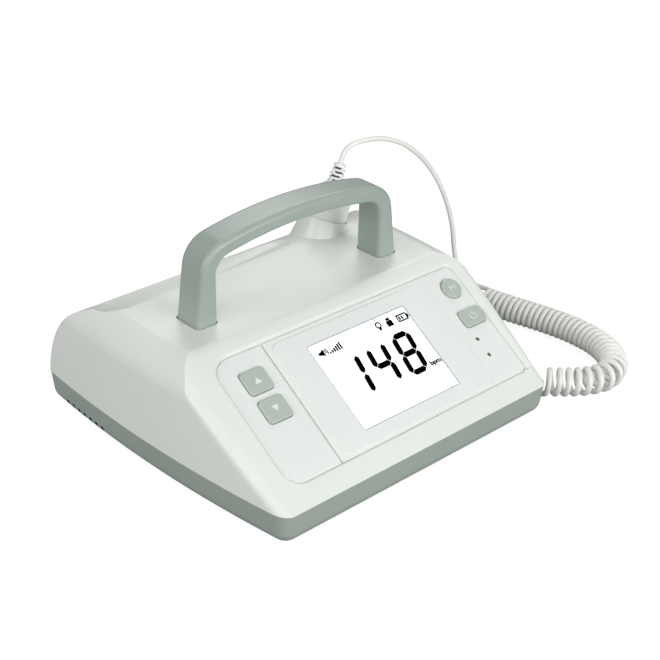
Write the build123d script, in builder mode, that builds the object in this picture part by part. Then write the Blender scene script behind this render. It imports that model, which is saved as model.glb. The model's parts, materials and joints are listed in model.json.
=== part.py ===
"""Desktop fetal doppler: a table unit with a carrying handle, a leaning probe holder and a curly cord.

Millimetres, +Z up, X across the front, Y to the back. The origin is on the table, in the
middle of the case's footprint. The front slope carries its own plane: x across, y up the
slope from the front edge, and depths below the rim counted as positive numbers.
"""
from build123d import *
import bisect
import math
import os

os.makedirs("parts", exist_ok=True)

# Case: the drawn shape of the two shells
case_width = 240
case_front_width = 213
case_depth = 212
case_top_z = 80.7
parting_z = 23.2
widest_y = 47
slope_angle = 32.08
side_draft = 4.5
rear_draft = 3
base_draft = 5
shoulder_radius = 20
shoulder_blend = 0.1
front_edge_radius = 7
rear_edge_radius = 3
ridge_radius = 14
rear_radius = 56
front_corner_radius = 9
rear_corner_radius = 4
base_edge_radius = 8
wall_cut = 16
wall = 2.5
skirt = 26
foot_height = 3
foot_radius = 9
overrun = 1

# Front recess and the plates that fill it
recess_left = 91
recess_right = 101
recess_low = 14.3
recess_high = 98.3
recess_depth = 1.8
recess_left_radius = 12
recess_right_radius = 5
plate_thickness = 1.6
recess_clearance = 0.1
plate_clearance = 0.2
plate_edge = 0.8
recess_edge = 2.4
rim_ramp_width = 4.5
groove_x = -53.4
groove_width = 1.2
field_left = -50
field_right = 73
field_low = 16.3
field_high = 95
field_rise = 0.7
field_radius = 6
field_edge = 0.5

# Display
window_left = -29
window_right = 49.6
window_low = 25.2
window_high = 85.5
window_clearance = 0.1
glass_border = 2.7
glass_thickness = 2.8
front_board_depth = 12.6
board_thickness = 1.6

# Keys, on the slope
key_width = 16.8
key_height = 15.1
key_corner = 2.5
key_rise = 1.8
key_edge = 0.9
key_clearance = 0.35
key_flange = 1.2
key_travel = 0.8
play = 0.1
arrow_key_x = -70.7
up_key_v = 78.6
down_key_v = 59.2
right_key_x = 90
mode_key_v = 82.9
mode_key_radius = 7
power_key_v = 60.5
power_key_width = 18
power_key_height = 12
plunger_radius = 1.6
switch_size = 6.2
switch_height = 4.2
switch_bore_depth = 3
lamp_x = 82.9
lamp_vs = (45.9, 33.8)
lamp_radius = 1.3
lamp_setback = 0.6

# Handle
handle_behind_ridge = 17.566
handle_depth = 22
leg_outer_x = 78.9
leg_inner_x = 63.7
leg_top_x = 72.6
leg_top_rise = 46.8
bar_top_rise = 55.9
bar_corner_rise = 38.3
bar_under_rise = 45.5
handle_corner_radius = 20
handle_inner_radius = 11
handle_edge = 3.5
leg_gap = 0.4
bracket_thickness = 4
bracket_margin = 6
handle_screw_radius = 2
handle_screw_reach = 12

# Scoop behind the handle
scoop_radius = 15
scoop_rear_inset = 40
scoop_left_x = -92
scoop_left_drop = 0.5
scoop_right_x = 30
scoop_right_rise = 10.3

# Probe holder and probe, along one leaning axis counted from its foot point
holder_side_inset = 54.5
holder_rear_inset = 45.2
holder_drop = 5.1
holder_lean = 19.6
rim_reach = 12.5
rim_lip = 1.3
collar_flare = 0.223
collar_root = 14
cup_wall = 1.5
probe_radius = 13.8
probe_clearance = 0.5
cup_depth = 56.5
probe_seat_gap = 0.3
probe_split = 30
probe_shoulder = 25
probe_neck = 35
neck_radius = 6.2
probe_wall = 1.6
lens_thickness = 2.2
disc_thickness = 3
disc_radius = 10
relief_length = 13.7
relief_root_radius = 5.5
relief_tip_radius = 3.9
relief_groove = 0.8
relief_grooves = 4

# Cord
cord_diameter = 3.5
curl_radius = 7.6
curl_gap = 0.5
curl_open_gap = 1.9
curl_height = 9.6
open_from_share = 0.55
open_over_share = 0.3
curl_tail_radius = 5
curl_steps = 40
bend_window = 30
run_share = 0.45
turn_step = 0.002
gap_samples = 4000
gland_length = 14
gland_radius = 3.4
gland_flange_radius = 5.4
gland_flange = 1.6

# Base fittings
screw_radius = 1.45
screw_head_radius = 2.8
screw_head_height = 2
screw_pilot_clearance = 0.05
column_radius = 4.4
front_column_side_inset = 17
front_column_inset = 46
rear_column_side_inset = 26
rear_column_inset = 18
case_screw_length = 14
front_foot_side_inset = 32
front_foot_inset = 20
rear_foot_side_inset = 26
rear_foot_inset = 20
vent_count = 7
vent_pitch = 6.3
vent_width = 2.4
vent_height = 6
vent_rear_inset = 39
vent_low = 4.4
cell_diameter = 18.2
cell_length = 65
cell_count = 3
bay_x = -10
bay_y = -36.4
bay_margin = 3
bay_ledge = 2.6
cover_thickness = 1.3
main_board_left = -90
main_board_right = 15
main_board_front = 20
main_board_back = 80
standoff_height = 5
standoff_inset = 4
standoff_radius = 3
shield_width = 34
shield_depth = 26
shield_height = 5
connector_size = 8
connector_count = 3
speaker_length = 36
speaker_height = 16
speaker_depth = 9
speaker_rim = 2.4
speaker_gap = 2
inlet_x = -60
inlet_z = 13.5
inlet_width = 9
inlet_height = 11
inlet_length = 14
inlet_nose_radius = 4
inlet_bore_radius = 3.2
inlet_pin_radius = 1


# Places worked out from the sizes above
slope = math.radians(slope_angle)
slope_plane = Plane(
    origin=(0, -case_depth / 2, parting_z), x_dir=(1, 0, 0), z_dir=(0, -math.sin(slope), math.cos(slope))
)
ramp_plane = Plane(
    origin=slope_plane.from_local_coords((recess_right, recess_low, 0)),
    x_dir=slope_plane.x_dir,
    z_dir=slope_plane.y_dir * -1,
)
tray_depth = recess_depth + plate_thickness + wall
floor_z = foot_height + wall
ridge_y = -case_depth / 2 + (case_top_z - parting_z) / math.tan(slope)
handle_y = ridge_y + handle_behind_ridge
leg_top_z = case_top_z + leg_top_rise
bar_top_z = case_top_z + bar_top_rise
bar_corner_z = case_top_z + bar_corner_rise
bar_under_z = case_top_z + bar_under_rise
scoop_y = case_depth / 2 - scoop_rear_inset
scoop_left_z = case_top_z - scoop_left_drop
scoop_right_z = case_top_z + scoop_right_rise
vent_centre_y = case_depth / 2 - vent_rear_inset
lean = math.radians(holder_lean)
holder_x = case_width / 2 - holder_side_inset
holder_y = case_depth / 2 - holder_rear_inset
holder_foot = (holder_x, holder_y, case_top_z - holder_drop)
holder_axis = Axis(origin=holder_foot, direction=(math.sin(lean), 0, math.cos(lean)))
holder_across = (math.cos(lean), 0, -math.sin(lean))
holder_profile = Plane(origin=holder_foot, x_dir=holder_across, z_dir=(0, -1, 0))
holder_plane = Plane(origin=holder_foot, x_dir=holder_across, z_dir=holder_axis.direction)
handle_middle_y = handle_y + handle_depth / 2
leg_middle_x = (leg_outer_x + leg_inner_x) / 2
leg_width = leg_outer_x - leg_inner_x
under_top_z = case_top_z - wall
cup_radius = probe_radius + probe_clearance
rim_radius = cup_radius + rim_lip


def four_places(front_side_inset, front_inset, rear_side_inset, rear_inset):
    """Places of a set of four, one near each corner of the case."""
    insets = ((-1, front_side_inset, front_inset), (1, rear_side_inset, rear_inset))
    return [
        (side * (case_width / 2 - side_inset), end * (case_depth / 2 - end_inset))
        for end, side_inset, end_inset in insets
        for side in (-1, 1)
    ]


case_columns = four_places(
    front_column_side_inset, front_column_inset, rear_column_side_inset, rear_column_inset
)
board_left = arrow_key_x - key_width * 3 / 4
board_right = right_key_x + switch_size
board_low = recess_low + board_thickness * 3
board_high = recess_high - board_thickness * 2
board_fixings = [
    (x, v)
    for x in (groove_x - groove_width * 3, field_right - standoff_inset)
    for v in (board_low + standoff_inset, board_high - standoff_inset)
]
keys = {
    "up_key": (arrow_key_x, up_key_v, key_width, key_height),
    "down_key": (arrow_key_x, down_key_v, key_width, key_height),
    "power_key": (right_key_x, power_key_v, power_key_width, power_key_height),
    "mode_key": (right_key_x, mode_key_v, 0, 0),
}


def save(piece, name):
    """Labels a finished piece and writes it."""
    piece.part.label = name
    export_step(piece.part, f"parts/{name}.step")


def side_x(y):
    """Half the case's width at the parting line, on the arc that is widest at widest_y."""
    reach = case_depth / 2 + widest_y
    setback = (case_width - case_front_width) / 2
    radius = (reach**2 + setback**2) / (2 * setback)
    return case_width / 2 - radius + math.sqrt(radius**2 - (y - widest_y) ** 2)


def case_outline(inset, front_y, rear_y):
    """Face of the case in plan: straight front and rear, bulged sides, drawn in by inset."""
    front_x = side_x(front_y)
    rear_x = side_x(rear_y)
    with BuildSketch() as plan:
        with BuildLine():
            Line((-front_x, front_y), (front_x, front_y))
            ThreePointArc((front_x, front_y), (case_width / 2, widest_y), (rear_x, rear_y))
            Line((rear_x, rear_y), (-rear_x, rear_y))
            ThreePointArc((-rear_x, rear_y), (-case_width / 2, widest_y), (-front_x, front_y))
        make_face()
        offset(amount=-inset, kind=Kind.INTERSECTION)
    return plan.sketch


def plan_body(inset, rise=0):
    """Solid of the case's plan with the side draft, drawn in by inset, up to rise above the flat top."""
    flare = skirt * math.tan(math.radians(side_draft))
    plan = case_outline(inset - flare, -case_depth / 2 - skirt, case_depth / 2 + skirt)
    with BuildPart() as body:
        with BuildSketch(Plane.XY.offset(parting_z - skirt)):
            add(plan)
        extrude(amount=case_top_z - inset - parting_z + skirt + rise, taper=side_draft)
    return body.part


def profile_body(inset):
    """Solid of the case's side view, right across it: slope, ridge, flat top and round rear."""
    low_z = parting_z - skirt
    top_z = case_top_z - inset
    slope_y = -case_depth / 2 + inset / math.sin(slope)
    rear_y = case_depth / 2 - inset / math.cos(math.radians(rear_draft))
    rear_lean = math.tan(math.radians(rear_draft))
    with BuildPart() as body:
        with BuildSketch(Plane.YZ) as side:
            with BuildLine():
                Polyline(
                    (slope_y - (parting_z - low_z) / math.tan(slope), low_z),
                    (slope_y + (top_z - parting_z) / math.tan(slope), top_z),
                    (rear_y - (top_z - parting_z) * rear_lean, top_z),
                    (rear_y + (parting_z - low_z) * rear_lean, low_z),
                    close=True,
                )
            make_face()
            fillet(side.vertices().group_by(Axis.Y)[-1].sort_by(Axis.X)[0], radius=ridge_radius)
            fillet(side.vertices().group_by(Axis.Y)[-1].sort_by(Axis.X)[-1], radius=rear_radius - inset)
        extrude(amount=case_width, both=True)
    return body.part


def at_the_side(edge):
    """True for an edge that runs along one side of the case, above the skirt's middle."""
    return abs(edge.center().X) > case_front_width / 4 and edge.center().Z > parting_z - skirt / 2


def roof_body(inset, radius):
    """Plan body whose long upper edges are rounded."""
    with BuildPart() as roof:
        add(plan_body(inset))
        fillet(roof.edges().group_by(Axis.Z)[-1].filter_by(at_the_side), radius=radius)
    return roof.part


def edged_body(radius):
    """Solid of plan and side view whose long side edges have a radius."""
    with BuildPart() as body:
        add(plan_body(0, overrun))
        add(profile_body(0), mode=Mode.INTERSECT)
        fillet(body.edges().filter_by(at_the_side), radius=radius)
    return body.part


# Case block: round edges along the slope, smaller ones at the rear, wide round shoulders along the top
with BuildPart() as rear_half:
    add(edged_body(rear_edge_radius))
    split(bisect_by=Plane.XZ, keep=Keep.BOTTOM)
with BuildPart() as case_block:
    add(edged_body(front_edge_radius))
    split(bisect_by=Plane.XZ, keep=Keep.TOP)
    add(rear_half.part)
    add(roof_body(-shoulder_blend, shoulder_radius), mode=Mode.INTERSECT)
    split(bisect_by=Plane.XY.offset(parting_z), keep=Keep.TOP)
outer_block = case_block.part

with BuildPart() as case_space:
    add(roof_body(wall, shoulder_radius - wall))
    add(profile_body(wall), mode=Mode.INTERSECT)
    split(bisect_by=Plane.XY.offset(parting_z), keep=Keep.TOP)
inner_block = case_space.part


def base_outline(inset):
    """Sketch of the lower shell in plan, drawn in by inset."""
    with BuildSketch() as plan:
        add(case_outline(inset, -case_depth / 2, case_depth / 2))
        fillet(plan.vertices().group_by(Axis.Y)[0], radius=front_corner_radius)
        fillet(plan.vertices().group_by(Axis.Y)[-1], radius=rear_corner_radius)
    return plan.sketch


def base_block(inset):
    """Solid that fills the lower shell, drawn in by inset from its sides and its bottom."""
    bottom_z = foot_height + inset
    draw_in = (parting_z - bottom_z) * math.tan(math.radians(base_draft))
    with BuildPart() as block:
        with BuildSketch(Plane.XY.offset(parting_z)):
            add(base_outline(inset))
        with BuildSketch(Plane.XY.offset(bottom_z)):
            add(base_outline(inset + draw_in))
        loft(ruled=True)
        fillet(block.edges().group_by(Axis.Z)[0], radius=base_edge_radius - inset)
    return block.part


outer_base = base_block(0)
inner_base = base_block(wall)


def on_slope(depth):
    """Plane parallel to the slope, depth below its rim."""
    return slope_plane.offset(-depth)


def at_the_rim(edge):
    """True for an edge that lies on the slope itself."""
    return abs(slope_plane.to_local_coords(edge.center()).Z) < shoulder_blend


def at_the_plate(edge):
    """True for an edge that lies where the plates' tops lie."""
    return abs(slope_plane.to_local_coords(edge.center()).Z + recess_depth) < shoulder_blend


def at_the_field(edge):
    """True for an edge that lies where the raised field's top lies."""
    return abs(slope_plane.to_local_coords(edge.center()).Z + recess_depth - field_rise) < shoulder_blend


def recess_shape(margin):
    """Sketch of the front recess, grown by margin."""
    with BuildSketch() as shape:
        with BuildLine():
            Polyline(
                (-recess_left, recess_low),
                (recess_right, recess_low),
                (recess_right, recess_high),
                (-recess_left, recess_high),
                close=True,
            )
        face = make_face()
        fillet(face.vertices().group_by(Axis.X)[0], radius=recess_left_radius)
        fillet(shape.vertices().group_by(Axis.X)[-1], radius=recess_right_radius)
        offset(amount=margin)
    return shape.sketch


def rectangle_between(left, right, low, high, radius, margin=0):
    """Sketch of a rounded rectangle given by its sides, grown by margin."""
    with BuildSketch() as shape:
        with Locations(((left + right) / 2, (low + high) / 2)):
            RectangleRounded(right - left + 2 * margin, high - low + 2 * margin, radius + margin)
    return shape.sketch


def key_shape(name, margin=0):
    """Sketch of one key's outline on the slope, grown by margin."""
    x, v, width, height = keys[name]
    with BuildSketch() as shape:
        with Locations((x, v)):
            if width:
                RectangleRounded(width + 2 * margin, height + 2 * margin, key_corner + margin)
            else:
                Circle(mode_key_radius + margin)
    return shape.sketch


def slope_prism(shape, deep, high):
    """Solid of a slope sketch between two depths below the rim."""
    with BuildPart() as prism:
        with BuildSketch(on_slope(deep)):
            add(shape)
        extrude(amount=deep - high)
    return prism.part


def scoop_body(radius):
    """Round-ended bar that lies along the scoop behind the handle."""
    start = Vector(scoop_left_x, scoop_y, scoop_left_z)
    end = Vector(scoop_right_x, scoop_y, scoop_right_z)
    length = (end - start).length
    with BuildPart() as bar:
        with BuildSketch(Plane(origin=start, x_dir=end - start, z_dir=(0, 1, 0))):
            with BuildLine():
                CenterArc((0, 0), radius, 90, 90)
                Line((0, radius), (length, radius))
                CenterArc((length, 0), radius, 0, 90)
                Line((-radius, 0), (length + radius, 0))
            make_face()
        revolve(axis=Axis(origin=start, direction=end - start))
    return bar.part


def leaning_turning(points):
    """Solid turned about the holder's axis from (radius, reach) points of its half section."""
    with BuildPart() as turned:
        with BuildSketch(holder_profile):
            with BuildLine():
                Polyline(*points, close=True)
            make_face()
        revolve(axis=holder_axis)
    return turned.part


def upright(x, y, radius, low, high):
    """Upright round bar between two heights."""
    with BuildPart() as bar:
        with BuildSketch(Plane.XY.offset(low)):
            with Locations((x, y)):
                Circle(radius)
        extrude(amount=high - low)
    return bar.part


# Top casing
tray = slope_prism(recess_shape(wall), tray_depth, 0) & outer_block
scoop_wall = scoop_body(scoop_radius + wall) & outer_block
cup_outer_radius = cup_radius + cup_wall
holder_bore = leaning_turning([
    (0, -cup_depth),
    (cup_outer_radius + plate_clearance, -cup_depth),
    (cup_outer_radius + plate_clearance, rim_reach),
    (0, rim_reach),
])
with BuildPart() as top_casing:
    add(outer_block)
    add(inner_block, mode=Mode.SUBTRACT)
    add(tray)
    add(scoop_wall)
    for x, y in case_columns:
        add(upright(x, y, column_radius, parting_z, case_top_z) & outer_block)
    for x, v in board_fixings:
        with BuildSketch(on_slope(front_board_depth)):
            with Locations((x, v)):
                Circle(standoff_radius)
        extrude(amount=front_board_depth - recess_depth)
    add(slope_prism(recess_shape(0), recess_depth + plate_thickness, -overrun), mode=Mode.SUBTRACT)
    fillet(top_casing.edges(Select.LAST).filter_by(at_the_rim), radius=recess_edge)
    with BuildSketch(ramp_plane):
        with BuildLine():
            Polyline(
                (-recess_right_radius, overrun),
                (-recess_right_radius, -recess_depth),
                (0, -recess_depth),
                (rim_ramp_width, 0),
                (rim_ramp_width, overrun),
                close=True,
            )
        make_face()
    extrude(amount=recess_low - recess_high, mode=Mode.SUBTRACT)
    add(scoop_body(scoop_radius), mode=Mode.SUBTRACT)
    glass_opening = rectangle_between(
        window_left, window_right, window_low, window_high, overrun, glass_border + plate_clearance
    )
    add(slope_prism(glass_opening, tray_depth + overrun, recess_depth), mode=Mode.SUBTRACT)
    for name in keys:
        key_hole = key_shape(name, key_clearance)
        add(slope_prism(key_hole, tray_depth + overrun, recess_depth), mode=Mode.SUBTRACT)
    for v in lamp_vs:
        with BuildSketch(on_slope(tray_depth + overrun)):
            with Locations((lamp_x, v)):
                Circle(lamp_radius + plate_clearance)
        extrude(amount=tray_depth, mode=Mode.SUBTRACT)
    with BuildSketch(Plane.XY.offset(under_top_z - overrun)):
        with Locations((-leg_middle_x, handle_middle_y), (leg_middle_x, handle_middle_y)):
            RectangleRounded(leg_width + 2 * leg_gap, handle_depth + 2 * leg_gap, handle_edge)
    extrude(amount=wall + 2 * overrun, mode=Mode.SUBTRACT)
    add(holder_bore, mode=Mode.SUBTRACT)
    with BuildSketch(Plane.XY.offset(parting_z)):
        with Locations(*case_columns):
            Circle(screw_radius + screw_pilot_clearance)
    extrude(amount=case_screw_length, mode=Mode.SUBTRACT)
    for x, v in board_fixings:
        with BuildSketch(on_slope(front_board_depth)):
            with Locations((x, v)):
                Circle(screw_radius + screw_pilot_clearance)
        extrude(amount=front_board_depth - tray_depth, mode=Mode.SUBTRACT)
save(top_casing, "top_casing")

# Cord: the guide points of the plain lead, then of the curly stretch's axis
lead_guides = [
    (81.84, 60.8, 121.48), (84.25, 60.8, 128.26), (89.7, 59.9, 132.7), (99.7, 58.3, 134),
    (114, 55.9, 132.6), (130, 53.1, 126.4), (145.5, 50.4, 114), (158.8, 48.2, 97.3),
    (169.3, 46.6, 77.5), (176.8, 45.3, 55.5), (179.6, 44.8, 36), (179.6, 41, 22.5),
    (179.92, 30.6, 14.08), (182.04, 19.42, 14.08),
]
curl_guides = [
    (176.1, 9.65), (178.5, -3), (182.5, -19), (187.5, -38), (191, -60), (189.5, -83),
    (179, -103), (161, -112), (144, -106.5), (130.5, -95.5), (122, -87.5), (118.2, -87.5),
]


def smooth_line(guides, steps):
    """Points of the smooth line that the guides draw: it runs from middle to middle of their spans."""
    line = []
    last = len(guides) - 2
    for i in range(1, last + 1):
        start = guides[0] if i == 1 else (guides[i - 1] + guides[i]) / 2
        end = guides[-1] if i == last else (guides[i] + guides[i + 1]) / 2
        for step in range(steps + (i == last)):
            t = step / steps
            line.append(start * (1 - t) ** 2 + guides[i] * 2 * t * (1 - t) + end * t**2)
    return line


def turn_radii(points):
    """Radius of each arc of a tube that follows points: 0.45 of the shorter run over tan(turn / 2)."""
    radii = []
    for before, corner, after in zip(points, points[1:], points[2:]):
        run_in = corner - before
        run_out = after - corner
        half_turn = math.radians(run_in.get_angle(run_out)) / 2
        radii.append(run_share * min(run_in.length, run_out.length) / math.tan(half_turn))
    return radii


# Curly stretch: its axis lies level, and the turns run left-handed round it
axis_points = smooth_line([Vector(x, y, curl_height) for x, y in curl_guides], curl_steps)
spans = [(b - a).length for a, b in zip(axis_points, axis_points[1:])]
headings = [(b - a).normalized() for a, b in zip(axis_points, axis_points[1:])]
reaches = [0]
for span in spans:
    reaches.append(reaches[-1] + span)
axis_length = reaches[-1]
bends = [0]
for i in range(1, len(spans)):
    turn = math.radians(headings[i - 1].get_angle(headings[i]))
    bends.append(turn / spans[i])
turn_counts = [0]
for i, span in enumerate(spans):
    nearby = bends[max(0, i - bend_window) : i + bend_window]
    bend = sum(nearby) / len(nearby)
    opened = min(max((reaches[i] / axis_length - open_from_share) / open_over_share, 0), 1)
    gap = curl_gap + (curl_open_gap - curl_gap) * opened**2 * (3 - 2 * opened)
    pitch = (cord_diameter + gap) / (1 - curl_radius * bend)
    turn_counts.append(turn_counts[-1] + span / pitch)
turns = math.floor(turn_counts[-1] - 1 / 2) + 1 / 2
turn_scale = turns / turn_counts[-1]


def between(value, knots, values):
    """Value read off a table by straight lines between its knots."""
    i = min(max(bisect.bisect_right(knots, value) - 1, 0), len(knots) - 2)
    share = (value - knots[i]) / (knots[i + 1] - knots[i])
    return values[i] + (values[i + 1] - values[i]) * share


def curl_point(count):
    """Point of the curly tube's centreline after count turns."""
    reach = between(count / turn_scale, turn_counts, reaches)
    middles = [(a + b) / 2 for a, b in zip(reaches, reaches[1:])]
    place = between(reach, reaches, axis_points)
    heading = between(reach, middles, headings).normalized()
    outward = Vector(0, 0, 1).cross(heading)
    phase = 2 * math.pi * count
    return place + outward * curl_radius * math.cos(phase) - Vector(0, 0, 1) * curl_radius * math.sin(phase)


def curl_heading(count):
    """Direction of the curly tube's centreline after count turns."""
    return (curl_point(count + turn_step) - curl_point(count - turn_step)).normalized()


def tail_arc(point, along, across):
    """Far end of the arc that leads from point, heading across, to the heading along."""
    turn = math.radians(along.get_angle(across))
    side = (across - along * along.dot(across)).normalized()
    return point + (along * math.sin(turn) + side * (1 - math.cos(turn))) * curl_tail_radius


nodes = [i / 2 for i in range(1, round(2 * turns))]
nodes = [turn_step] + nodes + [turns - turn_step]
curl_places = [curl_point(count) for count in nodes]
curl_headings = [curl_heading(count) for count in nodes]
first_heading = headings[0]
last_heading = Vector(-1, 0, 0)
head_place = tail_arc(curl_places[0], first_heading * -1, curl_headings[0] * -1)
tail_place = tail_arc(curl_places[-1], last_heading, curl_headings[-1])
curl_start = head_place - first_heading * cord_diameter
curl_end = tail_place + last_heading * cord_diameter
print("curl start", [round(v, 2) for v in curl_start], "curl end", [round(v, 2) for v in curl_end])

# Base shell
bay_length = cell_length + 2 * bay_margin
bay_width = cell_count * cell_diameter + 2 * bay_margin
rebate_length = bay_length + 2 * bay_ledge
rebate_width = bay_width + 2 * bay_ledge
cover_screw_x = rebate_length / 2 + column_radius
cover_screws_at = [(bay_x - cover_screw_x, bay_y), (bay_x + cover_screw_x, bay_y)]
standoffs = [
    (x, y)
    for x in (main_board_left + standoff_inset, main_board_right - standoff_inset)
    for y in (main_board_front + standoff_inset, main_board_back - standoff_inset)
]
cover_shape_tab = 2 * column_radius
with BuildSketch() as cover_outline:
    with Locations((bay_x, bay_y)):
        RectangleRounded(rebate_length, rebate_width, bay_ledge)
        RectangleRounded(rebate_length + 2 * cover_shape_tab, cover_shape_tab, bay_ledge)
head_seat_z = floor_z + screw_head_height * 3
with BuildPart() as base_shell:
    add(outer_base)
    add(inner_base, mode=Mode.SUBTRACT)
    for x, y in case_columns:
        add(upright(x, y, column_radius, foot_height, parting_z) & outer_base)
    for x, y in cover_screws_at:
        add(upright(x, y, column_radius, foot_height, floor_z + cover_thickness * 3))
    with BuildSketch(Plane.XY.offset(floor_z)):
        with Locations(*standoffs):
            Circle(standoff_radius)
    extrude(amount=standoff_height)
    with BuildSketch(Plane.XY.offset(floor_z)):
        with Locations(*standoffs):
            Circle(screw_radius + screw_pilot_clearance)
    extrude(amount=standoff_height, mode=Mode.SUBTRACT)
    shank_room = screw_radius + plate_clearance
    head_room = screw_head_radius + plate_clearance
    for x, y in case_columns:
        add(upright(x, y, shank_room, foot_height - overrun, parting_z), mode=Mode.SUBTRACT)
        add(upright(x, y, head_room, foot_height - overrun, head_seat_z), mode=Mode.SUBTRACT)
    with BuildSketch(Plane.XY.offset(foot_height)):
        add(cover_outline.sketch)
    extrude(amount=cover_thickness, mode=Mode.SUBTRACT)
    with BuildSketch(Plane.XY.offset(foot_height)):
        with Locations((bay_x, bay_y)):
            RectangleRounded(bay_length, bay_width, bay_margin)
    extrude(amount=wall + overrun, mode=Mode.SUBTRACT)
    with BuildSketch(Plane.XY.offset(foot_height)):
        with Locations(*cover_screws_at):
            Circle(screw_radius + screw_pilot_clearance)
    extrude(amount=wall + cover_thickness * 2, mode=Mode.SUBTRACT)
    with BuildSketch(Plane.YZ.offset(-case_width / 2 - overrun)):
        with Locations((vent_centre_y, vent_low + vent_height / 2)):
            with GridLocations(vent_pitch, vent_height, vent_count, 1):
                Rectangle(vent_width, vent_height)
    extrude(amount=wall_cut, mode=Mode.SUBTRACT)
    with BuildSketch(Plane.XZ.offset(-case_depth / 2 - overrun)):
        with Locations((inlet_x, inlet_z)):
            Circle(inlet_nose_radius + plate_clearance)
    extrude(amount=wall_cut, mode=Mode.SUBTRACT)
    with BuildSketch(Plane.YZ.offset(curl_end.X)):
        with Locations((curl_end.Y, curl_end.Z)):
            Circle(gland_radius)
    extrude(amount=-gland_length, mode=Mode.SUBTRACT)
save(base_shell, "base_shell")

with BuildPart() as feet:
    with BuildSketch(Plane.XY):
        with Locations(*four_places(
            front_foot_side_inset, front_foot_inset, rear_foot_side_inset, rear_foot_inset
        )):
            Circle(foot_radius)
    extrude(amount=foot_height)
    fillet(feet.edges().group_by(Axis.Z)[0], radius=foot_height / 2)
save(feet, "feet")

# Handle, its bracket and its screws
with BuildPart() as handle:
    with BuildSketch(Plane.XZ.offset(-handle_y)) as bow:
        with BuildLine():
            Polyline((-leg_top_x, leg_top_z), (-leg_outer_x, under_top_z), (-leg_inner_x, under_top_z),
                     (-leg_inner_x, bar_corner_z))
            ThreePointArc((-leg_inner_x, bar_corner_z), (0, bar_under_z), (leg_inner_x, bar_corner_z))
            Polyline((leg_inner_x, bar_corner_z), (leg_inner_x, under_top_z), (leg_outer_x, under_top_z),
                     (leg_top_x, leg_top_z))
            ThreePointArc((leg_top_x, leg_top_z), (0, bar_top_z), (-leg_top_x, leg_top_z))
        make_face()
        fillet(bow.vertices().group_by(Axis.Y)[-2], radius=handle_inner_radius)
        fillet(bow.vertices().group_by(Axis.Y)[-1], radius=handle_corner_radius)
    extrude(amount=-handle_depth)
    side_edges = (handle.edges() - handle.edges().filter_by(Axis.Y)).filter_by(
        lambda edge: edge.center().Z > under_top_z + overrun
    )
    fillet(side_edges, radius=handle_edge)
    with BuildSketch(Plane.XY.offset(under_top_z)):
        with Locations((-leg_middle_x, handle_middle_y), (leg_middle_x, handle_middle_y)):
            with GridLocations(0, handle_depth / 2, 1, 2):
                Circle(handle_screw_radius + screw_pilot_clearance)
    extrude(amount=handle_screw_reach, mode=Mode.SUBTRACT)
save(handle, "handle")

bracket_under_z = under_top_z - bracket_thickness
bracket_width = 2 * (leg_outer_x + bracket_margin)
with BuildPart() as handle_bracket:
    with BuildSketch(Plane.XY.offset(bracket_under_z)):
        with Locations((0, handle_middle_y)):
            RectangleRounded(bracket_width, handle_depth + bracket_margin, bracket_thickness)
    extrude(amount=bracket_thickness)
    with BuildSketch(Plane.XY.offset(bracket_under_z)):
        with Locations((-leg_middle_x, handle_middle_y), (leg_middle_x, handle_middle_y)):
            with GridLocations(0, handle_depth / 2, 1, 2):
                Circle(handle_screw_radius + screw_pilot_clearance)
    extrude(amount=bracket_thickness, mode=Mode.SUBTRACT)
save(handle_bracket, "handle_bracket")

with BuildPart() as handle_screws:
    for z, radius, length in (
        (bracket_under_z - screw_head_height, handle_screw_radius * 2, screw_head_height),
        (bracket_under_z, handle_screw_radius, bracket_thickness + handle_screw_reach - overrun),
    ):
        with BuildSketch(Plane.XY.offset(z)):
            with Locations((-leg_middle_x, handle_middle_y), (leg_middle_x, handle_middle_y)):
                with GridLocations(0, handle_depth / 2, 1, 2):
                    Circle(radius)
        extrude(amount=length)
save(handle_screws, "handle_screws")

# Plates and display in the front recess
plate_bottom = recess_depth + plate_thickness
with BuildPart() as key_panel:
    with BuildSketch(on_slope(plate_bottom)):
        add(recess_shape(-recess_clearance))
        with BuildLine():
            Polyline(
                (groove_x - groove_width / 2, recess_low - overrun),
                (recess_right + overrun, recess_low - overrun),
                (recess_right + overrun, recess_high + overrun),
                (groove_x - groove_width / 2, recess_high + overrun),
                close=True,
            )
        make_face(mode=Mode.SUBTRACT)
    extrude(amount=plate_thickness)
    fillet(key_panel.edges().filter_by(at_the_plate), radius=plate_edge)
    for name in ("up_key", "down_key"):
        add(slope_prism(key_shape(name, key_clearance), plate_bottom, recess_depth), mode=Mode.SUBTRACT)
save(key_panel, "key_panel")

with BuildPart() as display_panel:
    with BuildSketch(on_slope(plate_bottom)):
        add(recess_shape(-recess_clearance))
        with BuildLine():
            Polyline(
                (groove_x + groove_width / 2, recess_low - overrun),
                (-recess_left - overrun, recess_low - overrun),
                (-recess_left - overrun, recess_high + overrun),
                (groove_x + groove_width / 2, recess_high + overrun),
                close=True,
            )
        make_face(mode=Mode.SUBTRACT)
    extrude(amount=plate_thickness)
    fillet(display_panel.edges().filter_by(at_the_plate), radius=plate_edge)
    field = rectangle_between(field_left, field_right, field_low, field_high, field_radius)
    add(slope_prism(field, recess_depth, recess_depth - field_rise))
    fillet(display_panel.edges().filter_by(at_the_field), radius=field_edge)
    window_hole = rectangle_between(window_left, window_right, window_low, window_high, overrun)
    add(slope_prism(window_hole, plate_bottom, 0), mode=Mode.SUBTRACT)
    for name in ("power_key", "mode_key"):
        add(slope_prism(key_shape(name, key_clearance), plate_bottom, recess_depth), mode=Mode.SUBTRACT)
    with BuildSketch(on_slope(plate_bottom)):
        with Locations(*[(lamp_x, v) for v in lamp_vs]):
            Circle(lamp_radius + plate_clearance)
    extrude(amount=plate_thickness, mode=Mode.SUBTRACT)
save(display_panel, "display_panel")

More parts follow.
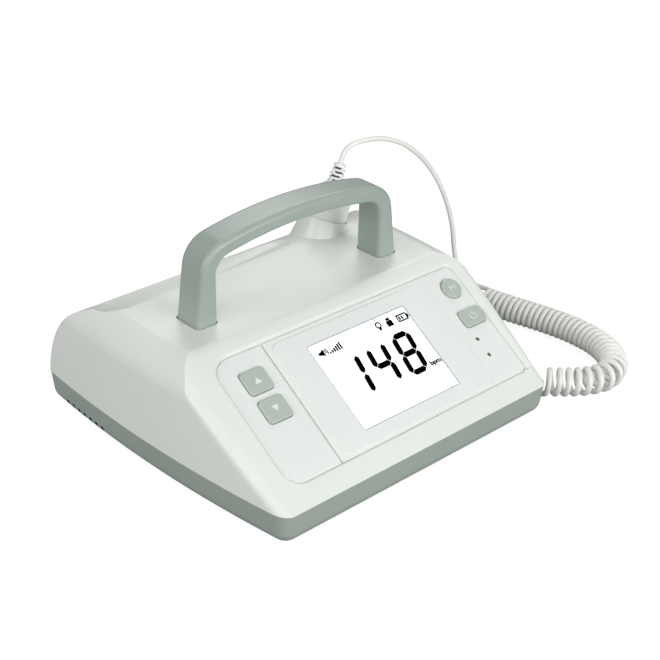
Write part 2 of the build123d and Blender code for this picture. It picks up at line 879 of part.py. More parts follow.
with BuildPart() as display_window:
    window_shape = rectangle_between(
        window_left, window_right, window_low, window_high, overrun, -window_clearance
    )
    add(slope_prism(window_shape, plate_bottom, recess_depth - field_rise / 2))
save(display_window, "display_window")

glass_shape = rectangle_between(window_left, window_right, window_low, window_high, overrun, glass_border)
glass_bottom = plate_bottom + glass_thickness
with BuildPart() as display_glass:
    add(slope_prism(glass_shape, glass_bottom, plate_bottom))
save(display_glass, "display_glass")

with BuildPart() as backlight:
    add(slope_prism(glass_shape, front_board_depth, glass_bottom))
save(backlight, "backlight")

with BuildPart() as front_board:
    board_shape = rectangle_between(board_left, board_right, board_low, board_high, overrun)
    add(slope_prism(board_shape, front_board_depth + board_thickness, front_board_depth))
    with BuildSketch(on_slope(front_board_depth + board_thickness)):
        with Locations(*board_fixings):
            Circle(screw_radius + screw_pilot_clearance)
    extrude(amount=board_thickness, mode=Mode.SUBTRACT)
save(front_board, "front_board")

board_screw_length = front_board_depth + board_thickness - tray_depth - overrun
with BuildPart() as front_board_screws:
    for deep, radius, length in (
        (front_board_depth + board_thickness + screw_head_height, screw_head_radius, screw_head_height),
        (front_board_depth + board_thickness, screw_radius, board_screw_length),
    ):
        with BuildSketch(on_slope(deep)):
            with Locations(*board_fixings):
                Circle(radius)
        extrude(amount=length)
save(front_board_screws, "front_board_screws")

with BuildPart() as indicator_lamps:
    with BuildSketch(on_slope(front_board_depth)):
        with Locations(*[(lamp_x, v) for v in lamp_vs]):
            Circle(lamp_radius)
    extrude(amount=front_board_depth - recess_depth - lamp_setback)
save(indicator_lamps, "indicator_lamps")

# Keys, their plungers and their switches
flange_top = tray_depth + play
flange_bottom = flange_top + key_flange
switch_top = front_board_depth - switch_height
switch_places = [(x, v) for x, v, width, height in keys.values()]
for name in keys:
    with BuildPart() as key:
        with BuildSketch(on_slope(flange_bottom)):
            add(key_shape(name))
        extrude(amount=flange_bottom - recess_depth + key_rise)
        top_face = key.faces().sort_by(Axis(origin=slope_plane.origin, direction=slope_plane.z_dir))[-1]
        fillet(top_face.edges(), radius=key_edge)
        add(slope_prism(key_shape(name, key_flange), flange_bottom, flange_top))
    save(key, name)
    with BuildPart() as plunger:
        with BuildSketch(on_slope(switch_top + switch_bore_depth - key_travel - play)):
            with Locations(keys[name][:2]):
                Circle(plunger_radius)
        extrude(amount=switch_top + switch_bore_depth - key_travel - play - flange_bottom)
    save(plunger, name.replace("key", "plunger"))

with BuildPart() as key_switches:
    with BuildSketch(on_slope(front_board_depth)):
        with Locations(*switch_places):
            Rectangle(switch_size, switch_size)
    extrude(amount=switch_height)
    with BuildSketch(on_slope(switch_top + switch_bore_depth)):
        with Locations(*switch_places):
            Circle(plunger_radius + plate_clearance)
    extrude(amount=switch_bore_depth, mode=Mode.SUBTRACT)
save(key_switches, "key_switches")

# Probe holder: a leaning cup with a flared collar that stands on the casing
root_radius = rim_radius + collar_flare * (rim_reach + collar_root)
collar = leaning_turning([
    (0, -collar_root),
    (root_radius, -collar_root),
    (rim_radius, rim_reach),
    (0, rim_reach),
])
cup = leaning_turning([
    (0, -cup_depth - cup_wall),
    (cup_outer_radius, -cup_depth - cup_wall),
    (cup_outer_radius, rim_reach - cup_wall),
    (0, rim_reach - cup_wall),
])
bore = leaning_turning([
    (0, -cup_depth),
    (cup_radius, -cup_depth),
    (cup_radius, rim_reach + overrun),
    (0, rim_reach + overrun),
])
with BuildPart() as probe_holder:
    add(collar)
    add(outer_block, mode=Mode.SUBTRACT)
    add(cup)
    add(bore, mode=Mode.SUBTRACT)
save(probe_holder, "probe_holder")

# Probe
inside_radius = probe_radius - probe_wall
probe_tip = cup_depth - probe_seat_gap
with BuildPart() as probe_housing:
    with BuildSketch(holder_profile):
        with BuildLine():
            Line((inside_radius, -probe_split), (probe_radius, -probe_split))
            Line((probe_radius, -probe_split), (probe_radius, probe_shoulder))
            Spline(
                (probe_radius, probe_shoulder),
                (neck_radius, probe_neck),
                tangents=((0, 1), (-1, 1)),
            )
            Line((neck_radius, probe_neck), (0, probe_neck))
            Line((0, probe_neck), (0, probe_shoulder))
            Line((0, probe_shoulder), (inside_radius, probe_shoulder))
            Line((inside_radius, probe_shoulder), (inside_radius, -probe_split))
        make_face()
    revolve(axis=holder_axis)
save(probe_housing, "probe_housing")

lens_radius = inside_radius - probe_wall / 2
with BuildPart() as probe_head:
    add(leaning_turning([
        (inside_radius, -probe_split),
        (probe_radius, -probe_split),
        (probe_radius, -probe_tip),
        (lens_radius, -probe_tip),
        (lens_radius, -probe_tip + lens_thickness),
        (inside_radius, -probe_tip + lens_thickness),
    ]))
save(probe_head, "probe_head")

with BuildPart() as probe_lens:
    add(leaning_turning([
        (0, -probe_tip), (lens_radius, -probe_tip),
        (lens_radius, -probe_tip + lens_thickness), (0, -probe_tip + lens_thickness),
    ]))
save(probe_lens, "probe_lens")

with BuildPart() as transducer_disc:
    add(leaning_turning([
        (0, -probe_tip + lens_thickness), (disc_radius, -probe_tip + lens_thickness),
        (disc_radius, -probe_tip + lens_thickness + disc_thickness),
        (0, -probe_tip + lens_thickness + disc_thickness),
    ]))
save(transducer_disc, "transducer_disc")

with BuildPart() as probe_board:
    with BuildSketch(holder_plane.offset(-probe_split)):
        Rectangle(2 * (inside_radius - plate_clearance), board_thickness)
    extrude(amount=probe_split + probe_shoulder)
save(probe_board, "probe_board")

relief_end = probe_neck + relief_length
relief_pitch = relief_length / (relief_grooves + 1)
with BuildPart() as probe_relief:
    add(leaning_turning([
        (0, probe_neck), (relief_root_radius, probe_neck),
        (relief_tip_radius, relief_end), (0, relief_end),
    ]))
    for turn in range(relief_grooves):
        middle = probe_neck + (turn + 1) * relief_pitch
        add(leaning_turning([
            (relief_tip_radius - relief_groove, middle - relief_groove / 2),
            (relief_root_radius + overrun, middle - relief_groove / 2),
            (relief_root_radius + overrun, middle + relief_groove / 2),
            (relief_tip_radius - relief_groove, middle + relief_groove / 2),
        ]), mode=Mode.SUBTRACT)
save(probe_relief, "probe_relief")

# Screws that hold the shells together
with BuildPart() as case_screws:
    for z, radius, length in (
        (head_seat_z - screw_head_height, screw_head_radius, screw_head_height),
        (head_seat_z, screw_radius, parting_z - head_seat_z + case_screw_length - overrun),
    ):
        with BuildSketch(Plane.XY.offset(z)):
            with Locations(*case_columns):
                Circle(radius)
        extrude(amount=length)
save(case_screws, "case_screws")

# Battery, its cover and the cover's screws
with BuildPart() as battery_cover:
    with BuildSketch(Plane.XY.offset(foot_height)):
        add(cover_outline.sketch)
        offset(amount=-plate_clearance)
    extrude(amount=cover_thickness)
    with BuildSketch(Plane.XY.offset(foot_height + cover_thickness)):
        with Locations((bay_x, bay_y)):
            RectangleRounded(bay_length - 2 * plate_clearance, bay_width - 2 * plate_clearance, bay_margin)
    extrude(amount=wall - cover_thickness)
    with BuildSketch(Plane.XY.offset(foot_height)):
        with Locations(*cover_screws_at):
            Circle(screw_radius + screw_pilot_clearance)
    extrude(amount=cover_thickness, mode=Mode.SUBTRACT)
save(battery_cover, "battery_cover")

with BuildPart() as cover_screws:
    for z, radius, length in (
        (foot_height - screw_head_height, screw_head_radius, screw_head_height),
        (foot_height, screw_radius, wall + cover_thickness),
    ):
        with BuildSketch(Plane.XY.offset(z)):
            with Locations(*cover_screws_at):
                Circle(radius)
        extrude(amount=length)
save(cover_screws, "cover_screws")

with BuildPart() as battery_cells:
    with BuildSketch(Plane.YZ.offset(bay_x - cell_length / 2)):
        with Locations((bay_y, floor_z + play + cell_diameter / 2)):
            with GridLocations(cell_diameter + play, 0, cell_count, 1):
                Circle(cell_diameter / 2)
    extrude(amount=cell_length)
save(battery_cells, "battery_cells")

# Main board with its shield can, its connectors and its screws
board_under_z = floor_z + standoff_height
board_top_z = board_under_z + board_thickness
main_board_x = (main_board_left + main_board_right) / 2
main_board_y = (main_board_front + main_board_back) / 2
with BuildPart() as main_board:
    with BuildSketch(Plane.XY.offset(board_under_z)):
        with Locations((main_board_x, main_board_y)):
            Rectangle(main_board_right - main_board_left, main_board_back - main_board_front)
        with Locations(*standoffs):
            Circle(screw_radius + screw_pilot_clearance, mode=Mode.SUBTRACT)
    extrude(amount=board_thickness)
save(main_board, "main_board")

with BuildPart() as board_screws:
    for z, radius, length in (
        (board_top_z, screw_head_radius, screw_head_height),
        (floor_z + overrun, screw_radius, board_top_z - floor_z - overrun),
    ):
        with BuildSketch(Plane.XY.offset(z)):
            with Locations(*standoffs):
                Circle(radius)
        extrude(amount=length)
save(board_screws, "board_screws")

with BuildPart() as shield_can:
    with BuildSketch(Plane.XY.offset(board_top_z)):
        with Locations((main_board_x - shield_width / 2, main_board_y)):
            RectangleRounded(shield_width, shield_depth, overrun)
    extrude(amount=shield_height)
save(shield_can, "shield_can")

with BuildPart() as board_connectors:
    with BuildSketch(Plane.XY.offset(board_top_z)):
        with Locations((main_board_x + shield_width / 2, main_board_y)):
            with GridLocations(0, connector_size * 2, 1, connector_count):
                Rectangle(connector_size * 2, connector_size)
    extrude(amount=connector_size)
save(board_connectors, "board_connectors")

# Speaker behind the vents
speaker_front_x = -side_x(vent_centre_y) + wall + base_edge_radius + play
speaker_plane = Plane.YZ.offset(speaker_front_x)
speaker_z = floor_z + speaker_height / 2
cone_width = speaker_height - 2 * speaker_rim
cone_length = speaker_length - 2 * speaker_rim
with BuildPart() as speaker_frame:
    with BuildSketch(speaker_plane):
        with Locations((vent_centre_y, speaker_z)):
            RectangleRounded(speaker_length, speaker_height, speaker_rim)
            SlotOverall(cone_length, cone_width, mode=Mode.SUBTRACT)
    extrude(amount=speaker_depth)
save(speaker_frame, "speaker_frame")

with BuildPart() as speaker_cone:
    with BuildSketch(speaker_plane.offset(speaker_gap)):
        with Locations((vent_centre_y, speaker_z)):
            SlotOverall(cone_length - play, cone_width - play)
    extrude(amount=overrun)
save(speaker_cone, "speaker_cone")

with BuildPart() as speaker_magnet:
    with BuildSketch(speaker_plane.offset(speaker_gap + overrun)):
        with Locations((vent_centre_y, speaker_z)):
            SlotOverall(cone_length * 2 / 3, cone_width * 3 / 4)
    extrude(amount=speaker_depth - speaker_gap - overrun)
save(speaker_magnet, "speaker_magnet")

# Supply inlet in the rear wall
rear_draw_in = (parting_z - inlet_z) * math.tan(math.radians(base_draft))
inlet_face_y = case_depth / 2 - rear_draw_in
inlet_back_y = inlet_face_y - wall * 3
with BuildPart() as supply_inlet:
    with BuildSketch(Plane.XZ.offset(-inlet_back_y)):
        with Locations((inlet_x, inlet_z)):
            Rectangle(inlet_width, inlet_height)
    extrude(amount=inlet_length)
    with BuildSketch(Plane.XZ.offset(-inlet_face_y + wall / 4)):
        with Locations((inlet_x, inlet_z)):
            Circle(inlet_nose_radius)
    extrude(amount=wall * 3)
    with BuildSketch(Plane.XZ.offset(-inlet_face_y)):
        with Locations((inlet_x, inlet_z)):
            Circle(inlet_bore_radius)
    extrude(amount=inlet_length, mode=Mode.SUBTRACT)
    with BuildSketch(Plane.XZ.offset(-inlet_back_y)):
        with Locations((inlet_x, floor_z + (inlet_z - inlet_height / 2 - floor_z) / 2)):
            Rectangle(inlet_width, inlet_z - inlet_height / 2 - floor_z)
    extrude(amount=inlet_length)
save(supply_inlet, "supply_inlet")

with BuildPart() as inlet_pin:
    with BuildSketch(Plane.XZ.offset(-inlet_face_y + inlet_length)):
        with Locations((inlet_x, inlet_z)):
            Circle(inlet_pin_radius)
    extrude(amount=-inlet_length + wall)
save(inlet_pin, "inlet_pin")

# Probe lead
lead_path = [Vector(*point) for point in lead_guides]
lead_radii = turn_radii(lead_path)
print("lead radii, mm:", [round(radius, 1) for radius in lead_radii])
with BuildPart() as probe_lead:
    with BuildLine() as lead_line:
        FilletPolyline(*lead_path, radius=lead_radii)
    with BuildSketch(Plane(origin=lead_path[0], z_dir=lead_path[1] - lead_path[0])):
        Circle(cord_diameter / 2)
    sweep()
lead_length = lead_line.wires()[0].length
lead_section = math.pi * cord_diameter**2 / 4
print("lead length", round(lead_length, 1),
      "volume over section", round(probe_lead.part.volume / lead_section, 1))
save(probe_lead, "probe_lead")

# Curly cord
with BuildPart() as curly_cord:
    with BuildLine() as curl_line:
        Line(curl_start, head_place)
        TangentArc(head_place, curl_places[0], tangent=first_heading)
        for a, b, leave, arrive in zip(curl_places, curl_places[1:], curl_headings, curl_headings[1:]):
            chord = b - a
            both = leave + arrive
            spread = 2 * (1 - leave.dot(arrive))
            reach = (math.sqrt(chord.dot(both) ** 2 + spread * chord.dot(chord)) - chord.dot(both)) / spread
            joint = (a + leave * reach + b - arrive * reach) / 2
            TangentArc(a, joint, tangent=leave)
            TangentArc(joint, b, tangent=(b - arrive * reach) - (a + leave * reach))
        TangentArc(curl_places[-1], tail_place, tangent=curl_headings[-1])
        Line(tail_place, curl_end)
    with BuildSketch(Plane(origin=curl_start, z_dir=first_heading)):
        Circle(cord_diameter / 2)
    sweep()
curl_wire = curl_line.wires()[0]
curl_section = math.pi * cord_diameter**2 / 4
print("turns", turns, "curl wire length", round(curl_wire.length, 1),
      "volume over section", round(curly_cord.part.volume / curl_section, 1))
samples = [curl_wire.position_at(i / gap_samples) for i in range(gap_samples + 1)]
sample_step = curl_wire.length / gap_samples
skip = math.ceil(2 * math.pi * curl_radius / 2 / sample_step)
window = math.ceil(2 * math.pi * curl_radius * 3 / 2 / sample_step)
least = min(
    (samples[i] - samples[j]).length
    for i in range(len(samples))
    for j in range(i + skip, min(i + window, len(samples)))
)
print("least gap between turns, mm:", round(least - cord_diameter, 2))
save(curly_cord, "curly_cord")

# Gland in the base's right wall
with BuildPart() as gland_seat:
    add(outer_base)
    add(inner_base, mode=Mode.SUBTRACT)
    with BuildSketch(Plane.YZ.offset(curl_end.X)):
        with Locations((curl_end.Y, curl_end.Z)):
            Circle(gland_radius)
    extrude(amount=-gland_length, mode=Mode.SUBTRACT)
with BuildPart() as cord_gland:
    with BuildSketch(Plane.YZ.offset(curl_end.X)):
        with Locations((curl_end.Y, curl_end.Z)):
            Circle(gland_radius)
    extrude(amount=-gland_length)
    with BuildSketch(Plane.YZ.offset(curl_end.X - gland_flange / 2)):
        with Locations((curl_end.Y, curl_end.Z)):
            Circle(gland_flange_radius)
    extrude(amount=-gland_length + gland_flange)
    add(gland_seat.part, mode=Mode.SUBTRACT)
save(cord_gland, "cord_gland")
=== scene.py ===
"""Desktop fetal doppler: finishes, modelled pieces, cord, light and camera round the frame."""
import json
import logging
import math
from collections.abc import Callable
from dataclasses import dataclass, field
from enum import Enum

import bpy
from mathutils import Matrix, Vector


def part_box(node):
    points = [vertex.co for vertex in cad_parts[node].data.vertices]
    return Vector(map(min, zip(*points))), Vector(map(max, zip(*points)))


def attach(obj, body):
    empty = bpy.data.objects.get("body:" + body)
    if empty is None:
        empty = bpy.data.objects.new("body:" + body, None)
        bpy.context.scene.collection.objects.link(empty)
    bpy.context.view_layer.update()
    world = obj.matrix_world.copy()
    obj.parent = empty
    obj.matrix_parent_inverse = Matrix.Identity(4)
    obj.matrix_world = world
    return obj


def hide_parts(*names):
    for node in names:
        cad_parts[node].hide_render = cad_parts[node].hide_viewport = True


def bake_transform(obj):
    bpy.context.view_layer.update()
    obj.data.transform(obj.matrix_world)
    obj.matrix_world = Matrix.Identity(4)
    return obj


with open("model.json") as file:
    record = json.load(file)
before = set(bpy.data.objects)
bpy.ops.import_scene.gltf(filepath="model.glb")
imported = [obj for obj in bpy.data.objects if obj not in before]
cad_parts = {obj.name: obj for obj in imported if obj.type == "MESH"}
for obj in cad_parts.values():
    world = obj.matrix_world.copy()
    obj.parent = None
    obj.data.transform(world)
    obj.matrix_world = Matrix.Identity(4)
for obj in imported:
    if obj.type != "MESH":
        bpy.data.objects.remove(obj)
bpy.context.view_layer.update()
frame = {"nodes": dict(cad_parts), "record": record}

MM = 0.001
WELD = MM / 1000
FULL_TURN = 360
UP = Vector((0, 0, 1))
LOG = logging.getLogger("doppler")

# The sRGB curve's own values
BYTE_TOP = 255
SRGB_KNEE, SRGB_SLOPE, SRGB_OFFSET, SRGB_POWER = 0.04045, 12.92, 0.055, 2.4

# Numbers of a colour mix node's sockets: its two colours, and the mixed one
MIX_FIRST, MIX_SECOND, MIX_RESULT = 6, 7, 2

# What all finishes share: a broad uneven tone, a fine grain and a small spread of gloss
BROAD_MM = 45
BROAD_DETAIL, FINE_DETAIL = 2.0, 3.0
TONE_LOW, TONE_HIGH = 0.7, 1.3
GLOSS_SPREAD, GLOSS_LEAST = 0.05, 0.02
NO_STRETCH, BRUSH_STRETCH = (1.0, 1.0, 1.0), (0.02, 1.0, 1.0)

# The vent slots' walls look along Y; they get a painted shade, a near-black colour for the shade
# deep inside the slots
SLOT_FACING = 0.6
SLOT_PAINTED_SHADE = "#0C0E0C"


def deselect() -> None:
    """Leaves nothing selected."""
    if bpy.context.mode != "OBJECT":
        bpy.ops.object.mode_set(mode="OBJECT")
    bpy.ops.object.select_all(action="DESELECT")


def take(piece: bpy.types.Object) -> None:
    """Selects one piece alone and makes it the active one.

    Args:
        piece: the piece that the next operators work on.
    """
    deselect()
    piece.select_set(True)
    bpy.context.view_layer.objects.active = piece


def linear(colour: str) -> tuple[float, float, float, float]:
    """Turns an sRGB hex colour to linear.

    Args:
        colour: six hex digits after a hash sign.

    Returns:
        Linear red, green and blue, and an alpha of 1.
    """
    shares = [int(colour[i : i + 2], 16) / BYTE_TOP for i in (1, 3, 5)]
    curve = [
        share / SRGB_SLOPE if share <= SRGB_KNEE
        else ((share + SRGB_OFFSET) / (1 + SRGB_OFFSET)) ** SRGB_POWER
        for share in shares
    ]
    return (*curve, 1.0)


Value = bpy.types.NodeSocket | float | tuple


def feed(owner: bpy.types.ID, socket: bpy.types.NodeSocket, value: Value) -> None:
    """Links an input socket to an output socket, or sets its value.

    Args:
        owner: the material or world that holds the nodes.
        socket: the input socket.
        value: an output socket or a plain value.
    """
    if isinstance(value, bpy.types.NodeSocket):
        owner.node_tree.links.new(value, socket)
    else:
        socket.default_value = value


def add_node(
    owner: bpy.types.ID, kind: str, settings: dict[str, str] | None = None, **inputs: Value
) -> bpy.types.Node:
    """Adds a shader node with its settings, and sets or links its inputs.

    Args:
        owner: the material or world that gets the node.
        kind: the node's type name.
        settings: attributes of the node itself.
        inputs: values or output sockets by input name, with underscores for spaces.

    Returns:
        The new node.
    """
    node = owner.node_tree.nodes.new(kind)
    for name, value in (settings or {}).items():
        setattr(node, name, value)
    for name, value in inputs.items():
        feed(owner, node.inputs[name.replace("_", " ")], value)
    return node


def add_math(owner: bpy.types.ID, operation: str, *terms: Value) -> bpy.types.NodeSocket:
    """Adds a math node.

    Args:
        owner: the material or world that gets the node.
        operation: the node's operation.
        terms: values or output sockets, in the order of the inputs.

    Returns:
        The result's socket.
    """
    node = add_node(owner, "ShaderNodeMath", {"operation": operation})
    for socket, term in zip(node.inputs, terms):
        feed(owner, socket, term)
    return node.outputs[0]


def add_mix(owner: bpy.types.ID, share: Value, first: Value, second: Value) -> bpy.types.NodeSocket:
    """Adds a mix of two colours.

    Args:
        owner: the material that gets the node.
        share: the second colour's share.
        first: the colour where the share is 0.
        second: the colour where the share is 1.

    Returns:
        The mixed colour's socket.
    """
    node = add_node(owner, "ShaderNodeMix", {"data_type": "RGBA"}, Factor=share)
    feed(owner, node.inputs[MIX_FIRST], first)
    feed(owner, node.inputs[MIX_SECOND], second)
    return node.outputs[MIX_RESULT]


class Grain(Enum):
    """How a surface was made, which sets the shape of its fine relief."""

    SPARK_ERODED = "spark eroded mould"
    POLISHED = "polished mould"
    BRUSHED = "brushed along X"
    WOVEN = "glass cloth under lacquer"


@dataclass(frozen=True)
class Finish:
    """One material: its colour, gloss and fine relief."""

    name: str
    colour: str
    tint: str
    roughness: float
    grain: Grain = Grain.SPARK_ERODED
    grain_mm: float = 1.1
    relief_mm: float = 0.012
    ior: float = 1.5
    metallic: float = 0.0
    coat: float = 0.0
    transmission: float = 0.0
    glow: float = 0.0
    specular: float = 0.5
    painted_shade_zone: tuple[tuple[str, float, float], ...] = ()

    def build(self) -> bpy.types.Material:
        """Makes the node material.

        Returns:
            The finished material.
        """
        material = bpy.data.materials.new(self.name)
        material.use_nodes = True
        shader = material.node_tree.nodes["Principled BSDF"]
        place = add_node(material, "ShaderNodeTexCoord").outputs["Object"]
        stretch = BRUSH_STRETCH if self.grain is Grain.BRUSHED else NO_STRETCH
        spread = add_node(material, "ShaderNodeMapping", Vector=place, Scale=stretch).outputs[0]
        fine = self._noise(material, spread, self.grain_mm, FINE_DETAIL)
        broad = self._noise(material, place, BROAD_MM, BROAD_DETAIL)
        both = add_math(material, "ADD", fine, broad)
        share = add_node(
            material, "ShaderNodeMapRange", Value=both, From_Min=TONE_LOW, From_Max=TONE_HIGH
        ).outputs[0]
        colour = add_mix(material, share, linear(self.colour), linear(self.tint))
        if self.painted_shade_zone:
            # painted shade: the vent slots' walls turn near-black
            colour = self._shaded(material, colour)
        gloss = add_node(
            material, "ShaderNodeMapRange", Value=fine,
            To_Min=max(self.roughness - GLOSS_SPREAD, GLOSS_LEAST),
            To_Max=self.roughness + GLOSS_SPREAD,
        ).outputs[0]
        values = {
            "Base Color": colour,
            "Roughness": gloss,
            "IOR": self.ior,
            "Specular IOR Level": self.specular,
            "Metallic": self.metallic,
            "Coat Weight": self.coat,
            "Transmission Weight": self.transmission,
        }
        if self.grain is not Grain.POLISHED:
            depth = self.relief_mm * MM
            bump = add_node(material, "ShaderNodeBump", Height=fine, Distance=depth)
            values["Normal"] = bump.outputs[0]
        if self.glow:
            values["Emission Color"] = linear(self.colour)
            values["Emission Strength"] = self.glow
        for name, value in values.items():
            feed(material, shader.inputs[name], value)
        return material

    @staticmethod
    def _noise(
        material: bpy.types.Material, place: bpy.types.NodeSocket, grain_mm: float, detail: float
    ) -> bpy.types.NodeSocket:
        """Adds a noise texture.

        Args:
            material: the material that is built.
            place: the coordinates' socket.
            grain_mm: size of one grain in millimetres.
            detail: how many finer layers the noise has.

        Returns:
            The noise's socket.
        """
        scale = 1 / (grain_mm * MM)
        noise = add_node(material, "ShaderNodeTexNoise", Vector=place, Scale=scale, Detail=detail)
        return noise.outputs["Fac"]

    def _shaded(
        self, material: bpy.types.Material, colour: bpy.types.NodeSocket
    ) -> bpy.types.NodeSocket:
        """Paints shade on the faces that look along Y inside the zone, the walls of narrow slots.

        Args:
            material: the material that is built.
            colour: its colour elsewhere.

        Returns:
            The colour with the slots' painted shade mixed in.
        """
        place = add_node(material, "ShaderNodeTexCoord").outputs
        facing = add_node(material, "ShaderNodeSeparateXYZ", Vector=place["Normal"]).outputs["Y"]
        spot = add_node(material, "ShaderNodeSeparateXYZ", Vector=place["Object"]).outputs
        steep = add_math(material, "ABSOLUTE", facing)
        share = add_math(material, "GREATER_THAN", steep, SLOT_FACING)
        for axis, low, high in self.painted_shade_zone:
            middle, reach = (low + high) / 2 * MM, (high - low) / 2 * MM
            inside = add_math(material, "COMPARE", spot[axis], middle, reach)
            share = add_math(material, "MULTIPLY", share, inside)
        return add_mix(material, share, colour, linear(SLOT_PAINTED_SHADE))


def metal(name: str, colour: str, tint: str, roughness: float) -> Finish:
    """Describes a bare metal with a brushed surface.

    Args:
        name: the material's name.
        colour: its colour.
        tint: the colour that it drifts to.
        roughness: its roughness.

    Returns:
        The finish.
    """
    return Finish(name, colour, tint, roughness, Grain.BRUSHED, metallic=1.0)


# White ABS from a spark-eroded mould: a soft satin white, a little cool
WHITE_ABS = Finish("white_abs_satin", "#E8ECE7", "#E3E8E2", 0.34)
# The same ABS in grey-green, on the handle and the battery cover
SAGE_ABS = Finish("sage_abs_satin", "#A1ADA5", "#9DA9A1", 0.32)
# The base's own grey-green, with painted shade on the walls inside the vent slots; the zone is in
# millimetres
VENT_ZONE = (("X", -122.0, -100.0), ("Y", 46.0, 88.0), ("Z", 4.0, 11.0))
SAGE_BASE = Finish("sage_abs_base", "#A1ADA5", "#9DA9A1", 0.32, painted_shade_zone=VENT_ZONE)
# Paler grey-green keys, smoother under the finger
SAGE_KEY = Finish("sage_key_abs", "#B4C0B8", "#B0BCB4", 0.32, relief_mm=0.006)

FINISHES = {
    "white_shell": WHITE_ABS,
    "sage_shell": SAGE_ABS,
    "white_plate": Finish("white_abs_plate", "#E9EDE9", "#E5E9E6", 0.3, relief_mm=0.006),
    "sage_key": SAGE_KEY,
    "probe_shell": Finish("probe_abs_satin", "#E4E8E2", "#DFE4DD", 0.3),
    "clear_window": Finish(
        "acrylic_window", "#FFFFFF", "#FFFFFF", 0.04, Grain.POLISHED, ior=1.49, transmission=1.0
    ),
    "display_cell": Finish(
        "backlit_display", "#FBFDFF", "#FFFFFF", 0.3, Grain.POLISHED, glow=0.75
    ),
    "backlight_block": Finish("diffuser_acrylic", "#F0F0EC", "#EDEDE8", 0.5),
    "lamp_resin": Finish(
        "tinted_lamp_epoxy", "#6F6B52", "#68644C", 0.15, Grain.POLISHED, coat=0.5
    ),
    "circuit_board": Finish(
        "green_board_lacquer", "#1F5A36", "#1B5130", 0.4, Grain.WOVEN, relief_mm=0.01
    ),
    "black_block": Finish("black_nylon", "#1C1D1D", "#202121", 0.5),
    "plunger": Finish("grey_acetal", "#2B2C2C", "#303131", 0.45),
    "zinc_steel": metal("zinc_plated_steel", "#B9BCBE", "#AEB2B4", 0.32),
    "tinned_steel": metal("tinned_steel_sheet", "#C4C6C6", "#BBBEBE", 0.28),
    "soft_rubber": Finish("foot_rubber", "#5A5E5B", "#555956", 0.7, relief_mm=0.02),
    "relief_rubber": Finish("relief_elastomer", "#ECEEEA", "#E7EAE5", 0.42),
    "cord_jacket": Finish("polyurethane_jacket", "#EDEFE9", "#E8EAE4", 0.3, relief_mm=0.008),
    "gland_nylon": Finish("gland_nylon", "#D5D8D5", "#CFD3CF", 0.45),
    "lens_resin": Finish("cast_lens_resin", "#8E969B", "#888F94", 0.3),
    "ceramic_disc": Finish("silvered_ceramic", "#CFCBBC", "#C8C3B2", 0.4),
    "cell_sleeve": Finish("cell_sleeve_film", "#34608C", "#305A84", 0.25, Grain.POLISHED),
    "magnet_steel": metal("plated_magnet", "#6E7072", "#66686A", 0.4),
    "cone_paper": Finish("pressed_cone_paper", "#1E1E1D", "#242423", 0.85, relief_mm=0.03),
    "brass_pin": metal("nickel_flashed_brass", "#C9B37A", "#C2AB70", 0.25),
}

INKS = {
    "display_ink": Finish(
        "display_segment_ink", "#020202", "#040404", 0.9, Grain.POLISHED, specular=0.0
    ),
    "display_edge": Finish(
        "display_edge_shade", "#9BACB2", "#96A7AD", 0.6, Grain.POLISHED, specular=0.1
    ),
    "key_print": Finish("white_pad_print", "#E3EBE5", "#DEE6E0", 0.4, Grain.POLISHED),
    "key_raised": Finish("raised_key_letter", "#DCE3DD", "#D6DDD7", 0.25, Grain.POLISHED),
    "slot_shade": Finish("relief_slot_shade", "#4A4F4B", "#454A46", 0.6),
    # Painted highlight: near-white rings round the lamp holes, for the light on their chamfers
    "hole_painted_highlight": Finish("lamp_hole_painted_highlight", "#F8F9F6", "#F5F6F3", 0.2, Grain.POLISHED),
}


@dataclass(frozen=True)
class Lamp:
    """One broad round lamp, aimed at the object; places are in metres."""

    name: str
    place: tuple[float, float, float]
    power: float
    size: float = 1.0
    aim: tuple[float, float, float] = (0.0, 0.0, 0.04)

    def build(self) -> None:
        """Adds the lamp to the scene."""
        data = bpy.data.lights.new(self.name, "AREA")
        data.shape = "DISK"
        data.size = self.size
        data.energy = self.power
        lamp = bpy.data.objects.new(self.name, data)
        lamp.location = self.place
        way = Vector(self.aim) - Vector(self.place)
        lamp.rotation_euler = way.to_track_quat("-Z", "Y").to_euler()
        bpy.context.scene.collection.objects.link(lamp)


LAMPS = (
    Lamp("back_lamp", (0.9, 0.9, 1.2), 8.2),
    Lamp("front_lamp", (0.1, -1.6, 0.9), 7.0),
    Lamp("corner_lamp", (-1.1, -1.0, 1.0), 7.0),
    Lamp("side_lamp", (-1.6, 0.1, 0.8), 9.2),
    Lamp("low_lamp", (0.5, -1.7, 0.35), 13.4),
)


